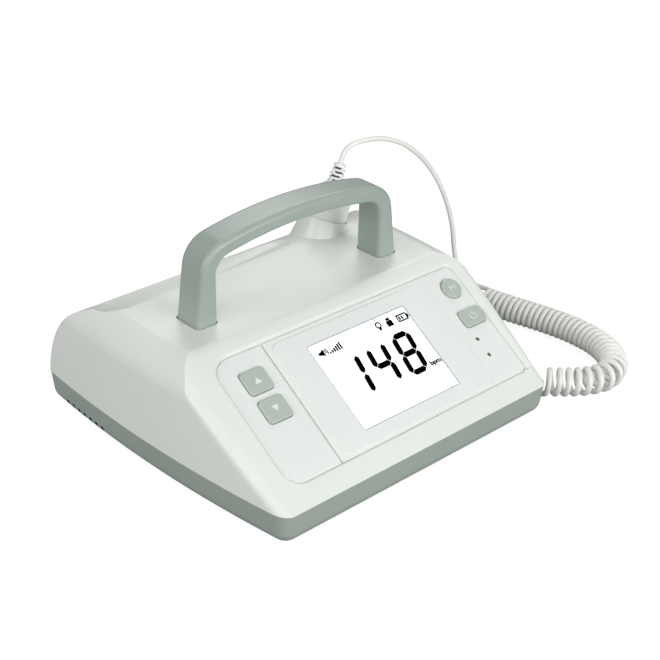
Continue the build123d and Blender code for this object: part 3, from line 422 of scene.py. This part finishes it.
@dataclass
class Studio:
    """Floor, light and the camera of the reference view; angles are in degrees."""

    azimuth: float = -42.7615
    elevation: float = 29.6285
    roll: float = 1.33
    camera_place: tuple[float, float, float] = (-0.4905, -0.5520, 0.4742)
    focal_px: float = 1395.68
    frame_px: float = 660
    sensor_mm: float = 36.0
    view_depth: float = 50.0
    world_light: float = 0.293
    world_seen: float = 1.0
    floor_size: float = 12.0
    floor_colour: str = "#9C9C9C"
    floor_roughness: float = 0.9
    floor_lift: float = 0.86

    def build(self) -> None:
        """Adds the camera, the lamps, the world and the floor."""
        self._camera()
        for lamp in LAMPS:
            lamp.build()
        self._world()
        self._floor()

    def _camera(self) -> None:
        """Adds the camera at the reference view's angle, place and focal length."""
        data = bpy.data.cameras.new("camera")
        data.sensor_width = self.sensor_mm
        data.lens = self.sensor_mm * self.focal_px / self.frame_px
        data.clip_end = self.view_depth
        camera = bpy.data.objects.new("camera", data)
        turn = (
            Matrix.Rotation(math.radians(self.azimuth), 4, "Z")
            @ Matrix.Rotation(math.radians(90 - self.elevation), 4, "X")
            @ Matrix.Rotation(math.radians(self.roll), 4, "Z")
        )
        camera.matrix_world = Matrix.Translation(self.camera_place) @ turn
        bpy.context.scene.collection.objects.link(camera)
        bpy.context.scene.camera = camera

    def _world(self) -> None:
        """Adds an even world, dim as a light and white where the camera sees it."""
        world = bpy.data.worlds.new("studio_world")
        bpy.context.scene.world = world
        world.use_nodes = True
        back = world.node_tree.nodes["Background"]
        rays = add_node(world, "ShaderNodeLightPath").outputs
        seen = add_math(world, "MAXIMUM", rays["Is Camera Ray"], rays["Is Transmission Ray"])
        level = add_node(
            world, "ShaderNodeMapRange", Value=seen,
            To_Min=self.world_light, To_Max=self.world_seen,
        )
        feed(world, back.inputs["Color"], (1, 1, 1, 1))
        feed(world, back.inputs["Strength"], level.outputs[0])

    def _floor(self) -> None:
        """Adds the white floor, which glows for a camera ray alone."""
        deselect()
        bpy.ops.mesh.primitive_plane_add(size=self.floor_size)
        floor = bpy.context.active_object
        floor.name = "floor"
        material = bpy.data.materials.new("paper_floor")
        material.use_nodes = True
        shader = material.node_tree.nodes["Principled BSDF"]
        seen = add_node(material, "ShaderNodeLightPath").outputs["Is Camera Ray"]
        values = {
            "Base Color": linear(self.floor_colour),
            "Roughness": self.floor_roughness,
            "Specular IOR Level": 0.0,
            "Emission Color": (1, 1, 1, 1),
            "Emission Strength": add_math(material, "MULTIPLY", seen, self.floor_lift),
        }
        for name, value in values.items():
            feed(material, shader.inputs[name], value)
        floor.data.materials.append(material)


def settle(piece: bpy.types.Object, place: Matrix = Matrix.Identity(4)) -> bpy.types.Object:
    """Moves a piece's place, turn and scale into its mesh.

    Args:
        piece: a mesh object.
        place: a further move that the mesh makes after its own.

    Returns:
        The same piece, standing at the origin.
    """
    piece.data.transform(place @ piece.matrix_world)
    piece.matrix_world = Matrix.Identity(4)
    return piece


def settle_now(piece: bpy.types.Object) -> bpy.types.Object:
    """Updates the view layer, so that a new primitive's place is known, and settles the piece.

    Args:
        piece: a mesh object that an operator has just added.

    Returns:
        The same piece, standing at the origin.
    """
    bpy.context.view_layer.update()
    return settle(piece)


def join(pieces: list[bpy.types.Object], name: str) -> bpy.types.Object:
    """Joins settled pieces into one.

    Args:
        pieces: mesh objects that stand at the origin.
        name: the joined piece's name.

    Returns:
        The joined piece.
    """
    take(pieces[0])
    for piece in pieces[1:]:
        piece.select_set(True)
    bpy.ops.object.join()
    whole = bpy.context.active_object
    whole.name = name
    whole.data.name = name
    return whole


def apply(piece: bpy.types.Object, kind: str, **settings: float | int | str) -> None:
    """Adds a modifier and applies it.

    Args:
        piece: the piece that the modifier changes.
        kind: the modifier's type name.
        settings: its attributes.
    """
    take(piece)
    modifier = piece.modifiers.new(kind.lower(), kind)
    for name, value in settings.items():
        setattr(modifier, name, value)
    bpy.ops.object.modifier_apply(modifier=modifier.name)


def pick(piece: bpy.types.Object, wanted: Callable[[Vector], bool], kind: str = "VERT") -> None:
    """Selects vertices or faces in edit mode by a test on their places.

    Args:
        piece: the piece in edit mode.
        wanted: takes a place, and says if what lies there is selected.
        kind: VERT or FACE.
    """
    bpy.ops.mesh.select_mode(type=kind)
    bpy.ops.mesh.select_all(action="DESELECT")
    bpy.ops.object.mode_set(mode="OBJECT")
    if kind == "VERT":
        for vertex in piece.data.vertices:
            vertex.select = wanted(vertex.co)
    else:
        for face in piece.data.polygons:
            face.select = wanted(face.center)
    bpy.ops.object.mode_set(mode="EDIT")


def dress(piece: bpy.types.Object, body: str, material: bpy.types.Material) -> None:
    """Gives a new piece its material and the body that it rides on.

    Args:
        piece: the new piece.
        body: the body that carries it.
        material: its only material.
    """
    piece.data.materials.clear()
    piece.data.materials.append(material)
    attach(piece, body)
    LOG.info("%s: %d faces on %s", piece.name, len(piece.data.polygons), body)


@dataclass
class Slope:
    """The front slope as a drawing board: x across, v up the slope, height off its rim."""

    angle: float = 32.08

    def matrix(self, height: float = 0.0) -> Matrix:
        """Place of a drawing that lies height above the rim.

        Args:
            height: metres along the slope's normal.

        Returns:
            The matrix that lays x and v on the slope.
        """
        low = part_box("top_casing")[0]
        front = Matrix.Translation((0, low[1], low[2]))
        tilt = Matrix.Rotation(math.radians(self.angle), 4, "X")
        return front @ tilt @ Matrix.Translation((0, 0, height))


@dataclass
class FlatArt:
    """Flat figures drawn with x and v in millimetres, then joined into one thin film."""

    name: str
    film: float = 0.04
    letter_weight: float = 0.045
    arc_steps: int = 24
    figures: list[bpy.types.Object] = field(default_factory=list)

    def bar(self, left: float, low: float, right: float, high: float) -> bpy.types.Object:
        """Adds a rectangle.

        Args:
            left: its lesser x.
            low: its lesser v.
            right: its greater x.
            high: its greater v.

        Returns:
            The rectangle.
        """
        deselect()
        middle = ((left + right) / 2 * MM, (low + high) / 2 * MM, 0)
        bpy.ops.mesh.primitive_plane_add(size=1, location=middle)
        figure = bpy.context.active_object
        figure.scale = ((right - left) * MM, (high - low) * MM, 1)
        self.figures.append(settle_now(figure))
        return figure

    def outline(self, left: float, low: float, right: float, high: float, line: float) -> None:
        """Adds the four bars of a rectangle's outline, drawn inside its sides.

        Args:
            left: its lesser x.
            low: its lesser v.
            right: its greater x.
            high: its greater v.
            line: the bars' width.
        """
        self.bar(left, low, right, low + line)
        self.bar(left, high - line, right, high)
        self.bar(left, low + line, left + line, high - line)
        self.bar(right - line, low + line, right, high - line)

    def taper(self, left: float, low: float, right: float, high: float, share: float) -> None:
        """Adds a rectangle whose left side is drawn in.

        Args:
            left: its lesser x.
            low: its lesser v.
            right: its greater x.
            high: its greater v.
            share: the left side's height as a share of the right side's.
        """
        figure = self.bar(left, low, right, high)
        take(figure)
        bpy.ops.object.mode_set(mode="EDIT")
        pick(figure, lambda co: co.x < (left + right) / 2 * MM)
        centre = (left * MM, (low + high) / 2 * MM, 0)
        bpy.ops.transform.resize(value=(1, share, 1), center_override=centre)
        bpy.ops.object.mode_set(mode="OBJECT")

    def triangle(self, x: float, v: float, radius: float) -> bpy.types.Object:
        """Adds an even triangle that points up the slope.

        Args:
            x: its centre across.
            v: its centre up the slope.
            radius: from its centre to its corners.

        Returns:
            The triangle.
        """
        deselect()
        bpy.ops.mesh.primitive_circle_add(
            vertices=3, radius=radius * MM, fill_type="NGON", location=(x * MM, v * MM, 0)
        )
        figure = settle_now(bpy.context.active_object)
        self.figures.append(figure)
        return figure

    def segment(self, start: tuple[float, float], end: tuple[float, float], stroke: float) -> None:
        """Adds a bar with pointed ends between two points.

        Args:
            start: x and v of one point.
            end: x and v of the other.
            stroke: the bar's width.
        """
        run = Vector(end) - Vector(start)
        deselect()
        bpy.ops.mesh.primitive_circle_add(vertices=6, radius=stroke * MM, fill_type="NGON")
        figure = settle_now(bpy.context.active_object)
        take(figure)
        bpy.ops.object.mode_set(mode="EDIT")
        bpy.ops.mesh.select_all(action="SELECT")
        narrow = (1 / math.sqrt(3), 1, 1)
        bpy.ops.transform.resize(value=narrow, center_override=(0, 0, 0))
        for side in (-1, 1):
            pick(figure, lambda co: co.y * side > stroke * MM / 4)
            reach = side * (run.length / 2 - stroke) * MM
            bpy.ops.transform.translate(value=(0, reach, 0))
        bpy.ops.object.mode_set(mode="OBJECT")
        middle = (Vector(start) + Vector(end)) / 2 * MM
        turn = Matrix.Rotation(math.atan2(run.y, run.x) - math.pi / 2, 4, "Z")
        self.figures.append(settle(figure, Matrix.Translation((*middle, 0)) @ turn))

    def text(self, words: str, left: float, low: float, right: float, high: float) -> None:
        """Adds plain letters that fill a rectangle.

        Args:
            words: the letters.
            left: the rectangle's lesser x.
            low: its lesser v.
            right: its greater x.
            high: its greater v.
        """
        deselect()
        bpy.ops.object.text_add()
        bpy.context.active_object.data.body = words
        bpy.context.active_object.data.offset = self.letter_weight
        bpy.ops.object.convert(target="MESH")
        figure = bpy.context.active_object
        spots = [vertex.co for vertex in figure.data.vertices]
        x0, x1 = min(co.x for co in spots), max(co.x for co in spots)
        v0, v1 = min(co.y for co in spots), max(co.y for co in spots)
        wide, tall = (right - left) * MM / (x1 - x0), (high - low) * MM / (v1 - v0)
        size = Matrix.Diagonal((wide, tall, 1, 1))
        corner = Matrix.Translation((left * MM, low * MM, 0))
        figure = settle(figure, corner @ size @ Matrix.Translation((-x0, -v0, 0)))
        self.figures.append(figure)

    def arc(
        self, x: float, v: float, radius: float, stroke: float, start: float, sweep: float
    ) -> None:
        """Adds a ring's part, spun from one short edge.

        Args:
            x: centre across.
            v: centre up the slope.
            radius: middle radius.
            stroke: the ring's width.
            start: first angle in degrees.
            sweep: angle covered in degrees.
        """
        deselect()
        bpy.ops.mesh.primitive_plane_add(size=stroke * MM, location=(radius * MM, 0, 0))
        figure = settle_now(bpy.context.active_object)
        take(figure)
        bpy.ops.object.mode_set(mode="EDIT")
        pick(figure, lambda co: co.y < 0)
        bpy.ops.mesh.delete(type="VERT")
        bpy.ops.mesh.select_all(action="SELECT")
        bpy.ops.mesh.spin(
            steps=self.arc_steps, angle=-math.radians(sweep), center=(0, 0, 0), axis=(0, 0, 1)
        )
        bpy.ops.object.mode_set(mode="OBJECT")
        turn = Matrix.Rotation(math.radians(start), 4, "Z")
        self.figures.append(settle(figure, Matrix.Translation((x * MM, v * MM, 0)) @ turn))

    def lean(self, low: float, share: float) -> None:
        """Leans all figures drawn so far to the right.

        Args:
            low: the v that stays where it is.
            share: how far a point moves, as a share of its height above low.
        """
        shear = Matrix.Identity(4)
        shear[0][1], shear[0][3] = share, -share * low * MM
        for figure in self.figures:
            figure.data.transform(shear)

    def finish(self, height: float, slope: Slope) -> bpy.types.Object:
        """Joins the figures, gives them their thickness and lays them on the slope.

        Args:
            height: millimetres above the rim.
            slope: the drawing board.

        Returns:
            The film as one closed piece.
        """
        film = join(self.figures, self.name)
        take(film)
        bpy.ops.object.mode_set(mode="EDIT")
        bpy.ops.mesh.select_all(action="SELECT")
        bpy.ops.mesh.remove_doubles(threshold=WELD)
        bpy.ops.mesh.select_mode(type="FACE")
        bpy.ops.mesh.select_all(action="DESELECT")
        bpy.ops.object.mode_set(mode="OBJECT")
        for face in film.data.polygons:
            face.select = face.normal.z < 0
        bpy.ops.object.mode_set(mode="EDIT")
        bpy.ops.mesh.flip_normals()
        bpy.ops.object.mode_set(mode="OBJECT")
        apply(film, "SOLIDIFY", thickness=self.film * MM, offset=1.0)
        return settle(film, slope.matrix(height * MM))


@dataclass
class Display:
    """What the backlit display shows: a rate of three figures, their unit and small marks."""

    slope: Slope
    materials: dict[str, bpy.types.Material]
    surface: float = -1.43
    window: tuple[float, float, float, float] = (-28.9, 25.3, 49.5, 85.4)
    edge_line: float = 0.5
    rate: str = "148"
    digit_low: float = 41.6
    digit_high: float = 70.7
    digit_width: float = 11.3
    digit_pitch: float = 21.2
    last_right: float = 35.8
    stroke: float = 3.8
    segment_gap: float = 0.2
    lean_share: float = 0.12
    unit: str = "bpm"
    unit_box: tuple[float, float, float, float] = (39.8, 41.9, 48.5, 46.3)

    def build(self) -> None:
        """Draws the figures and the marks, and lays them on the window."""
        art = FlatArt("display_figures")
        self._rate(art)
        art.lean(self.digit_low, self.lean_share)
        art.text(self.unit, *self.unit_box)
        self._speaker(art)
        self._lamp(art)
        self._bottle(art)
        self._battery(art)
        film = art.finish(self.surface, self.slope)
        dress(film, "root", self.materials["display_ink"])
        edge = FlatArt("display_edge")
        edge.outline(*self.window, self.edge_line)
        film = edge.finish(self.surface, self.slope)
        dress(film, "root", self.materials["display_edge"])

    def _rate(self, art: FlatArt) -> None:
        """Adds the large figures, each of up to seven segments.

        Args:
            art: the drawing that gets them.
        """
        lit = {"1": "bc", "4": "fgbc", "8": "abcdefg"}
        low, high = self.digit_low + self.stroke / 2, self.digit_high - self.stroke / 2
        middle = (low + high) / 2
        gap = self.segment_gap
        for i, figure in enumerate(self.rate):
            right = self.last_right - (len(self.rate) - 1 - i) * self.digit_pitch
            left = right - self.digit_width
            ends = {
                "a": ((left + gap, high), (right - gap, high)),
                "g": ((left + gap, middle), (right - gap, middle)),
                "d": ((left + gap, low), (right - gap, low)),
                "b": ((right, middle + gap), (right, high - gap)),
                "c": ((right, low + gap), (right, middle - gap)),
                "f": ((left, middle + gap), (left, high - gap)),
                "e": ((left, low + gap), (left, middle - gap)),
            }
            for letter in lit[figure]:
                art.segment(*ends[letter], self.stroke)

    @staticmethod
    def _speaker(art: FlatArt) -> None:
        """Adds the loudspeaker mark and its six rising bars.

        Args:
            art: the drawing that gets them.
        """
        middle = 77.9
        box_left, cone_left, cone_right = -24.6, -23.0, -20.4
        box_half, cone_half, cone_share = 1.0, 2.5, 0.4
        art.bar(box_left, middle - box_half, cone_left, middle + box_half)
        art.taper(cone_left, middle - cone_half, cone_right, middle + cone_half, cone_share)
        wave_x, wave_radii, wave_stroke, wave_half_angle = -21.6, (2.2, 3.6), 0.85, 38
        for radius in wave_radii:
            art.arc(wave_x, middle, radius, wave_stroke, -wave_half_angle, 2 * wave_half_angle)
        bars, bars_left, bars_low, bar_pitch, bar_width = 6, -17.1, 75.6, 1.75, 1.25
        first_height, height_step = 1.3, 0.75
        for i in range(bars):
            left = bars_left + i * bar_pitch
            art.bar(left, bars_low, left + bar_width, bars_low + first_height + i * height_step)

    @staticmethod
    def _lamp(art: FlatArt) -> None:
        """Adds the backlight's lamp mark: a bulb, its cap and short rays.

        Args:
            art: the drawing that gets them.
        """
        bulb, bulb_radius, bulb_stroke = (24.5, 80.0), 1.75, 1.0
        cap = (23.6, 76.3, 25.4, 77.9)
        rays_from, ray_angles = Vector((24.5, 80.2)), (35, 90, 145)
        ray_start, ray_length, ray_stroke = 2.6, 1.5, 0.6
        art.arc(*bulb, bulb_radius, bulb_stroke, 0, FULL_TURN)
        art.bar(*cap)
        for angle in ray_angles:
            way = Vector((math.cos(math.radians(angle)), math.sin(math.radians(angle))))
            start = rays_from + way * ray_start
            art.segment(tuple(start), tuple(start + way * ray_length), ray_stroke)

    @staticmethod
    def _bottle(art: FlatArt) -> None:
        """Adds the solid mark that has a body and a narrower neck.

        Args:
            art: the drawing that gets it.
        """
        body, neck, neck_share = (30.6, 76.2, 35.2, 80.2), (31.5, 80.2, 34.3, 82.4), 0.7
        art.bar(*body)
        art.taper(*neck, neck_share)

    @staticmethod
    def _battery(art: FlatArt) -> None:
        """Adds the battery mark: a frame, two inner bars and its nub.

        Args:
            art: the drawing that gets it.
        """
        left, low, right, high, line = 39.3, 76.1, 47.6, 81.3, 0.95
        inset, nub_width, bar_starts, bar_width = 1.3, 0.9, (1.5, 3.5), 1.2
        art.outline(left, low, right, high, line)
        art.bar(right, low + inset, right + nub_width, high - inset)
        for start in bar_starts:
            art.bar(left + start, low + inset, left + start + bar_width, high - inset)


@dataclass
class KeyMarks:
    """The marks on the keys, two arrows, a letter and a power sign, and a painted highlight round
    each lamp hole.
    """

    slope: Slope
    materials: dict[str, bpy.types.Material]
    surface: float = 0.0
    raised: float = 0.3
    arrow_width: float = 5.0
    arrow_height: float = 3.9
    up_v: float = 78.6
    down_v: float = 59.2
    mode_v: float = 82.9
    power_v: float = 60.5
    lamp_x: float = 82.9
    lamp_vs: tuple[float, float] = (45.9, 33.8)
    highlight_radius: float = 1.8
    highlight_stroke: float = 0.6
    highlight_film: float = 0.1
    plate: float = -1.8

    def build(self) -> None:
        """Adds one film of marks for each key, and one film of painted highlight round the lamp
        holes.
        """
        self._arrow("up_key", self.up_v, 1)
        self._arrow("down_key", self.down_v, -1)
        self._letter()
        self._power_sign()
        # Painted highlight: a pale ring round each lamp hole stands in for the light caught by the
        # holes' chamfers
        painted_highlights = FlatArt("lamp_hole_painted_highlights", self.highlight_film)
        for v in self.lamp_vs:
            painted_highlights.arc(self.lamp_x, v, self.highlight_radius, self.highlight_stroke, 0, FULL_TURN)
        film = painted_highlights.finish(self.plate, self.slope)
        dress(film, "root", self.materials["hole_painted_highlight"])

    def _arrow(self, key: str, v: float, way: int) -> None:
        """Adds a key's arrow.

        Args:
            key: the key's node and body.
            v: where the arrow lies up the slope.
            way: 1 to point up, -1 to point down.
        """
        art = FlatArt(f"{key}_arrow")
        radius = self.arrow_width / math.sqrt(3)
        middle = v - radius / 4 * way
        figure = art.triangle(self._centre(key), middle, radius)
        even_height = radius * 1.5
        squeeze = Matrix.Diagonal((1, self.arrow_height / even_height, 1, 1))
        flip = Matrix.Rotation(0 if way > 0 else math.pi, 4, "Z")
        centre = Matrix.Translation((self._centre(key) * MM, middle * MM, 0))
        figure.data.transform(centre @ flip @ squeeze @ centre.inverted())
        self._lay(art, key, "key_print")

    def _letter(self) -> None:
        """Adds the mode key's letter M, of two legs and two slanting strokes."""
        art = FlatArt("mode_key_letter", self.raised)
        x, v = self._centre("mode_key"), self.mode_v
        leg_at, leg_half, leg_rise = 2.0, 0.4, 2.3
        slant_at, slant_rise, slant_drop, slant_stroke = 1.9, 2.1, 1.0, 0.75
        for side in (-1, 1):
            leg = x + side * leg_at
            art.bar(leg - leg_half, v - leg_rise, leg + leg_half, v + leg_rise)
            top, foot = (x + side * slant_at, v + slant_rise), (x, v - slant_drop)
            art.segment(top, foot, slant_stroke)
        self._lay(art, "mode_key", "key_raised")

    def _power_sign(self) -> None:
        """Adds the power key's sign, a ring open at its top and a short bar."""
        art = FlatArt("power_key_sign", self.raised)
        x, v = self._centre("power_key"), self.power_v
        ring_radius, ring_stroke, half_opening = 2.3, 0.75, 38
        bar_half, bar_low, bar_high = 0.38, 0.2, 3.1
        sweep = FULL_TURN - 2 * half_opening
        art.arc(x, v, ring_radius, ring_stroke, 90 + half_opening, sweep)
        art.bar(x - bar_half, v + bar_low, x + bar_half, v + bar_high)
        self._lay(art, "power_key", "key_raised")

    @staticmethod
    def _centre(key: str) -> float:
        """Middle of a key across the case.

        Args:
            key: the key's node.

        Returns:
            Its x in millimetres.
        """
        low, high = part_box(key)
        return (low[0] + high[0]) / 2 / MM

    def _lay(self, art: FlatArt, key: str, ink: str) -> None:
        """Lays a film on its key, and lets it ride there.

        Args:
            art: the drawing.
            key: the key's body.
            ink: the name of the film's material.
        """
        dress(art.finish(self.surface, self.slope), key, self.materials[ink])


@dataclass
class ProbeCord:
    """The probe's cord: a plain lead that hangs from the probe, then a curly stretch."""

    material: bpy.types.Material
    diameter: float = 3.5
    tube_resolution: int = 4
    curl_swell: float = 1.1
    lead_length: float = 200.0
    curl_wire_length: float = 1769.0
    curl_radius: float = 7.6
    curl_height: float = 9.6
    curl_gap: float = 0.5
    open_gap: float = 1.9
    open_from: float = 0.55
    open_over: float = 0.3
    part_turn: float = 0.5
    points_per_turn: int = 16
    route_resolution: int = 8
    axis_resolution: int = 40
    bend_window: int = 30
    tail_radius: float = 5.0
    tail_share: float = 1.5
    lead: tuple = (
        (81.84, 60.8, 121.48), (84.25, 60.8, 128.26), (89.7, 59.9, 132.7), (99.7, 58.3, 134),
        (114, 55.9, 132.6), (130, 53.1, 126.4), (145.5, 50.4, 114), (158.8, 48.2, 97.3),
        (169.3, 46.6, 77.5), (176.8, 45.3, 55.5), (179.6, 44.8, 36), (179.6, 41, 22.5),
        (179.92, 30.6, 14.08), (182.04, 19.42, 14.08),
    )
    curl_axis: tuple = (
        (176.1, 9.65), (178.5, -3), (182.5, -19), (187.5, -38), (191, -60), (189.5, -83),
        (179, -103), (161, -112), (144, -106.5), (130.5, -95.5), (122, -87.5), (118.2, -87.5),
    )

    def build(self) -> None:
        helix = self._helix()
        points = [Vector(point) * MM for point in self.lead] + helix
        swell = [1.0] * len(self.lead) + [self.curl_swell] * len(helix)
        swell[len(self.lead)] = 1.0
        swell[-3:] = [1.0] * 3
        route = self._spline("cord_route", points, swell, self.route_resolution)
        path = self._read(route)
        route.data.bevel_depth = self.diameter / 2 * MM
        route.data.bevel_resolution = self.tube_resolution
        route.data.use_fill_caps = True
        take(route)
        bpy.ops.object.convert(target="MESH")
        cord = bpy.context.active_object
        cord.name = "probe_cord"
        bpy.ops.object.shade_smooth()
        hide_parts("probe_lead", "curly_cord")
        cord.data.materials.append(self.material)
        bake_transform(cord)
        LOG.info("probe_cord: %d faces", len(cord.data.polygons))

    @staticmethod
    def _spline(
        name: str, points: list[Vector], swell: list[float], resolution: int
    ) -> bpy.types.Object:
        """Makes a NURBS curve with points as its control points.

        Args:
            name: the curve's name.
            points: control points in metres.
            swell: radius share at each point.
            resolution: steps from one control point to the next.

        Returns:
            The curve object.
        """
        data = bpy.data.curves.new(name, "CURVE")
        data.dimensions = "3D"
        data.resolution_u = resolution
        spline = data.splines.new("NURBS")
        spline.points.add(len(points) - 1)
        for knot, point, radius in zip(spline.points, points, swell):
            knot.co = (*point, 1.0)
            knot.radius = radius
        spline.order_u = 3
        spline.use_endpoint_u = True
        curve = bpy.data.objects.new(name, data)
        bpy.context.scene.collection.objects.link(curve)
        return curve

    @staticmethod
    def _read(curve: bpy.types.Object) -> list[Vector]:
        """Reads the points of a curve's smooth line.

        Args:
            curve: a curve with no bevel.

        Returns:
            Its evaluated points in order.
        """
        bpy.context.view_layer.update()
        smooth = curve.evaluated_get(bpy.context.evaluated_depsgraph_get())
        line = bpy.data.meshes.new_from_object(smooth)
        points = [vertex.co.copy() for vertex in line.vertices]
        bpy.data.meshes.remove(line)
        return points

    def _helix(self) -> list[Vector]:
        """Winds the curls round the line that the curly stretch follows.

        Returns:
            Control points in metres, from just after the lead to just inside the gland.
        """
        knots = [Vector((x, y, self.curl_height)) * MM for x, y in self.curl_axis]
        axis = self._spline("curl_axis", knots, [1.0] * len(knots), self.axis_resolution)
        line = [point / MM for point in self._read(axis)]
        bpy.data.objects.remove(axis)
        headings = [(b - a).normalized() for a, b in zip(line, line[1:])]
        counts = self._counts([(b - a).length for a, b in zip(line, line[1:])], headings)
        turns = math.floor(counts[-1] - self.part_turn) + self.part_turn
        scale = turns / counts[-1]
        steps = round(turns * self.points_per_turn)
        helix, place = [], 0
        for step in range(steps + 1):
            count = turns * step / steps
            while place < len(headings) - 1 and counts[place + 1] * scale < count:
                place += 1
            share = (count / scale - counts[place]) / (counts[place + 1] - counts[place])
            spot = line[place].lerp(line[place + 1], min(share, 1.0))
            phase = math.tau * count
            around = UP.cross(headings[place]) * math.cos(phase) - UP * math.sin(phase)
            helix.append(spot + around * self.curl_radius)
        inward = Vector((-1, 0, 0))
        start = self._corner(helix[0], helix[0] - helix[1], -headings[0])
        end = self._corner(helix[-1], helix[-1] - helix[-2], inward)
        last = end + inward * (self.tail_radius + self.diameter * self.tail_share)
        return [point * MM for point in [start, *helix, end, last]]

    def _counts(self, spans: list[float], headings: list[Vector]) -> list[float]:
        """Counts the turns up to each point of the curls' middle line.

        The turns lie close at first, open towards the gland, and spread in the bends, so that
        they don't meet on the inside.

        Args:
            spans: lengths from point to point, in millimetres.
            headings: directions from point to point.

        Returns:
            The turns wound before each point.
        """
        whole = sum(spans)
        bends = [0.0] + [a.angle(b) / span for a, b, span in zip(headings, headings[1:], spans[1:])]
        counts, reach = [0.0], 0.0
        for i, span in enumerate(spans):
            near = bends[max(0, i - self.bend_window) : i + self.bend_window]
            opened = min(max((reach / whole - self.open_from) / self.open_over, 0), 1)
            eased = opened**2 * (3 - 2 * opened)
            gap = self.curl_gap + (self.open_gap - self.curl_gap) * eased
            pitch = (self.diameter + gap) / (1 - self.curl_radius * sum(near) / len(near))
            counts.append(counts[-1] + span / pitch)
            reach += span
        return counts

    def _corner(self, point: Vector, leaving: Vector, along: Vector) -> Vector:
        """Control point of the bend that turns a curl's end into a straight run.

        Args:
            point: the curl's end.
            leaving: the direction in which the curl runs out.
            along: the straight run's direction away from the curl.

        Returns:
            The point where the two directions meet.
        """
        turn = leaving.angle(along)
        return point + leaving.normalized() * self.tail_radius * math.tan(turn / 2)


@dataclass
class StrainRelief:
    """The ribbed, tapered sleeve where the cord leaves the probe."""

    material: bpy.types.Material
    slot_material: bpy.types.Material
    holder_foot: tuple[float, float, float] = (65.5, 60.8, 75.6)
    lean: float = 19.6
    neck: float = 35.0
    length: float = 13.7
    root_radius: float = 5.5
    tip_radius: float = 3.9
    slots: int = 4
    slot_share: float = 0.5
    slot_depth: float = 1.7
    sides: int = 32
    bridge: float = 26.0
    edge_radius: float = 0.22
    edge_angle: float = 40.0
    smooth_angle: float = 35.0

    def build(self) -> None:
        """Builds the sleeve upright, cuts its slots and lays it on the probe's axis."""
        deselect()
        bpy.ops.mesh.primitive_cone_add(
            vertices=self.sides, radius1=self.root_radius * MM, radius2=self.tip_radius * MM,
            depth=self.length * MM, location=(0, 0, self.length / 2 * MM), end_fill_type="NGON",
        )
        sleeve = settle_now(bpy.context.active_object)
        sleeve.name = "ribbed_relief"
        take(sleeve)
        sleeve.data.materials.append(self.material)
        sleeve.data.materials.append(self.slot_material)
        self._cut_slots(sleeve)
        apply(
            sleeve, "BEVEL", width=self.edge_radius * MM, segments=2,
            limit_method="ANGLE", angle_limit=math.radians(self.edge_angle),
        )
        bpy.ops.object.shade_smooth_by_angle(angle=math.radians(self.smooth_angle))
        foot = Matrix.Translation(Vector(self.holder_foot) * MM)
        tilt = Matrix.Rotation(math.radians(self.lean), 4, "Y")
        settle(sleeve, foot @ tilt @ Matrix.Translation((0, 0, self.neck * MM)))
        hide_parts("probe_relief")
        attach(sleeve, "probe")
        LOG.info("%s: %d faces", sleeve.name, len(sleeve.data.polygons))

    def _cut_slots(self, sleeve: bpy.types.Object) -> None:
        """Sinks the slots into the sleeve, each a quarter turn on from the last.

        Args:
            sleeve: the upright sleeve, with the slots' material second.
        """
        bpy.ops.object.mode_set(mode="EDIT")
        pitch = self.length / (self.slots + 1)
        half = pitch * self.slot_share / 2
        for slot in range(self.slots):
            for edge in (-half, half):
                cut = (0, 0, ((slot + 1) * pitch + edge) * MM)
                bpy.ops.mesh.select_all(action="SELECT")
                bpy.ops.mesh.bisect(plane_co=cut, plane_no=(0, 0, 1))
        sink = {"value": -self.slot_depth * MM, "use_even_offset": True}
        for slot in range(self.slots):
            middle = (slot + 1) * pitch * MM
            offset = math.pi / 2 * (slot % 2)
            pick(
                sleeve,
                lambda co: abs(co.z - middle) < half * MM / 2 and self._open(co, offset),
                "FACE",
            )
            bpy.ops.mesh.extrude_region_shrink_fatten(TRANSFORM_OT_shrink_fatten=sink)
            sleeve.active_material_index = 1
            bpy.ops.object.material_slot_assign()
        bpy.ops.object.mode_set(mode="OBJECT")

    def _open(self, co: Vector, offset: float) -> bool:
        """Says where a slot is open: everywhere but at two opposite bridges.

        Args:
            co: a place on the sleeve.
            offset: the slot's turn in radians.

        Returns:
            True where the slot is open.
        """
        angle = math.degrees(math.atan2(co.y, co.x) - offset) % 180
        return min(angle, 180 - angle) > self.bridge / 2


def dress_cad_nodes() -> dict[str, bpy.types.Material]:
    """Gives every CAD node the material of its slot, and the base its own.

    Returns:
        The materials by slot.
    """
    made = {slot: finish.build() for slot, finish in FINISHES.items()}
    base = SAGE_BASE.build()
    slots = {row["node"]: row["material_slot"] for row in frame["record"]["subparts"]}
    for name, node in frame["nodes"].items():
        node.data.materials.clear()
        node.data.materials.append(base if name == "base_shell" else made[slots[name]])
    return made


def main() -> None:
    """Builds everything in order."""
    logging.basicConfig(level=logging.INFO, format="%(name)s: %(message)s")
    scene = bpy.context.scene
    scene.view_settings.view_transform = "Standard"
    Studio().build()
    made = dress_cad_nodes()
    made.update({name: finish.build() for name, finish in INKS.items()})
    slope = Slope()
    Display(slope, made).build()
    KeyMarks(slope, made).build()
    ProbeCord(made["cord_jacket"]).build()
    StrainRelief(made["relief_rubber"], made["slot_shade"]).build()
    bpy.context.view_layer.update()


if __name__ == "__main__":
    main()
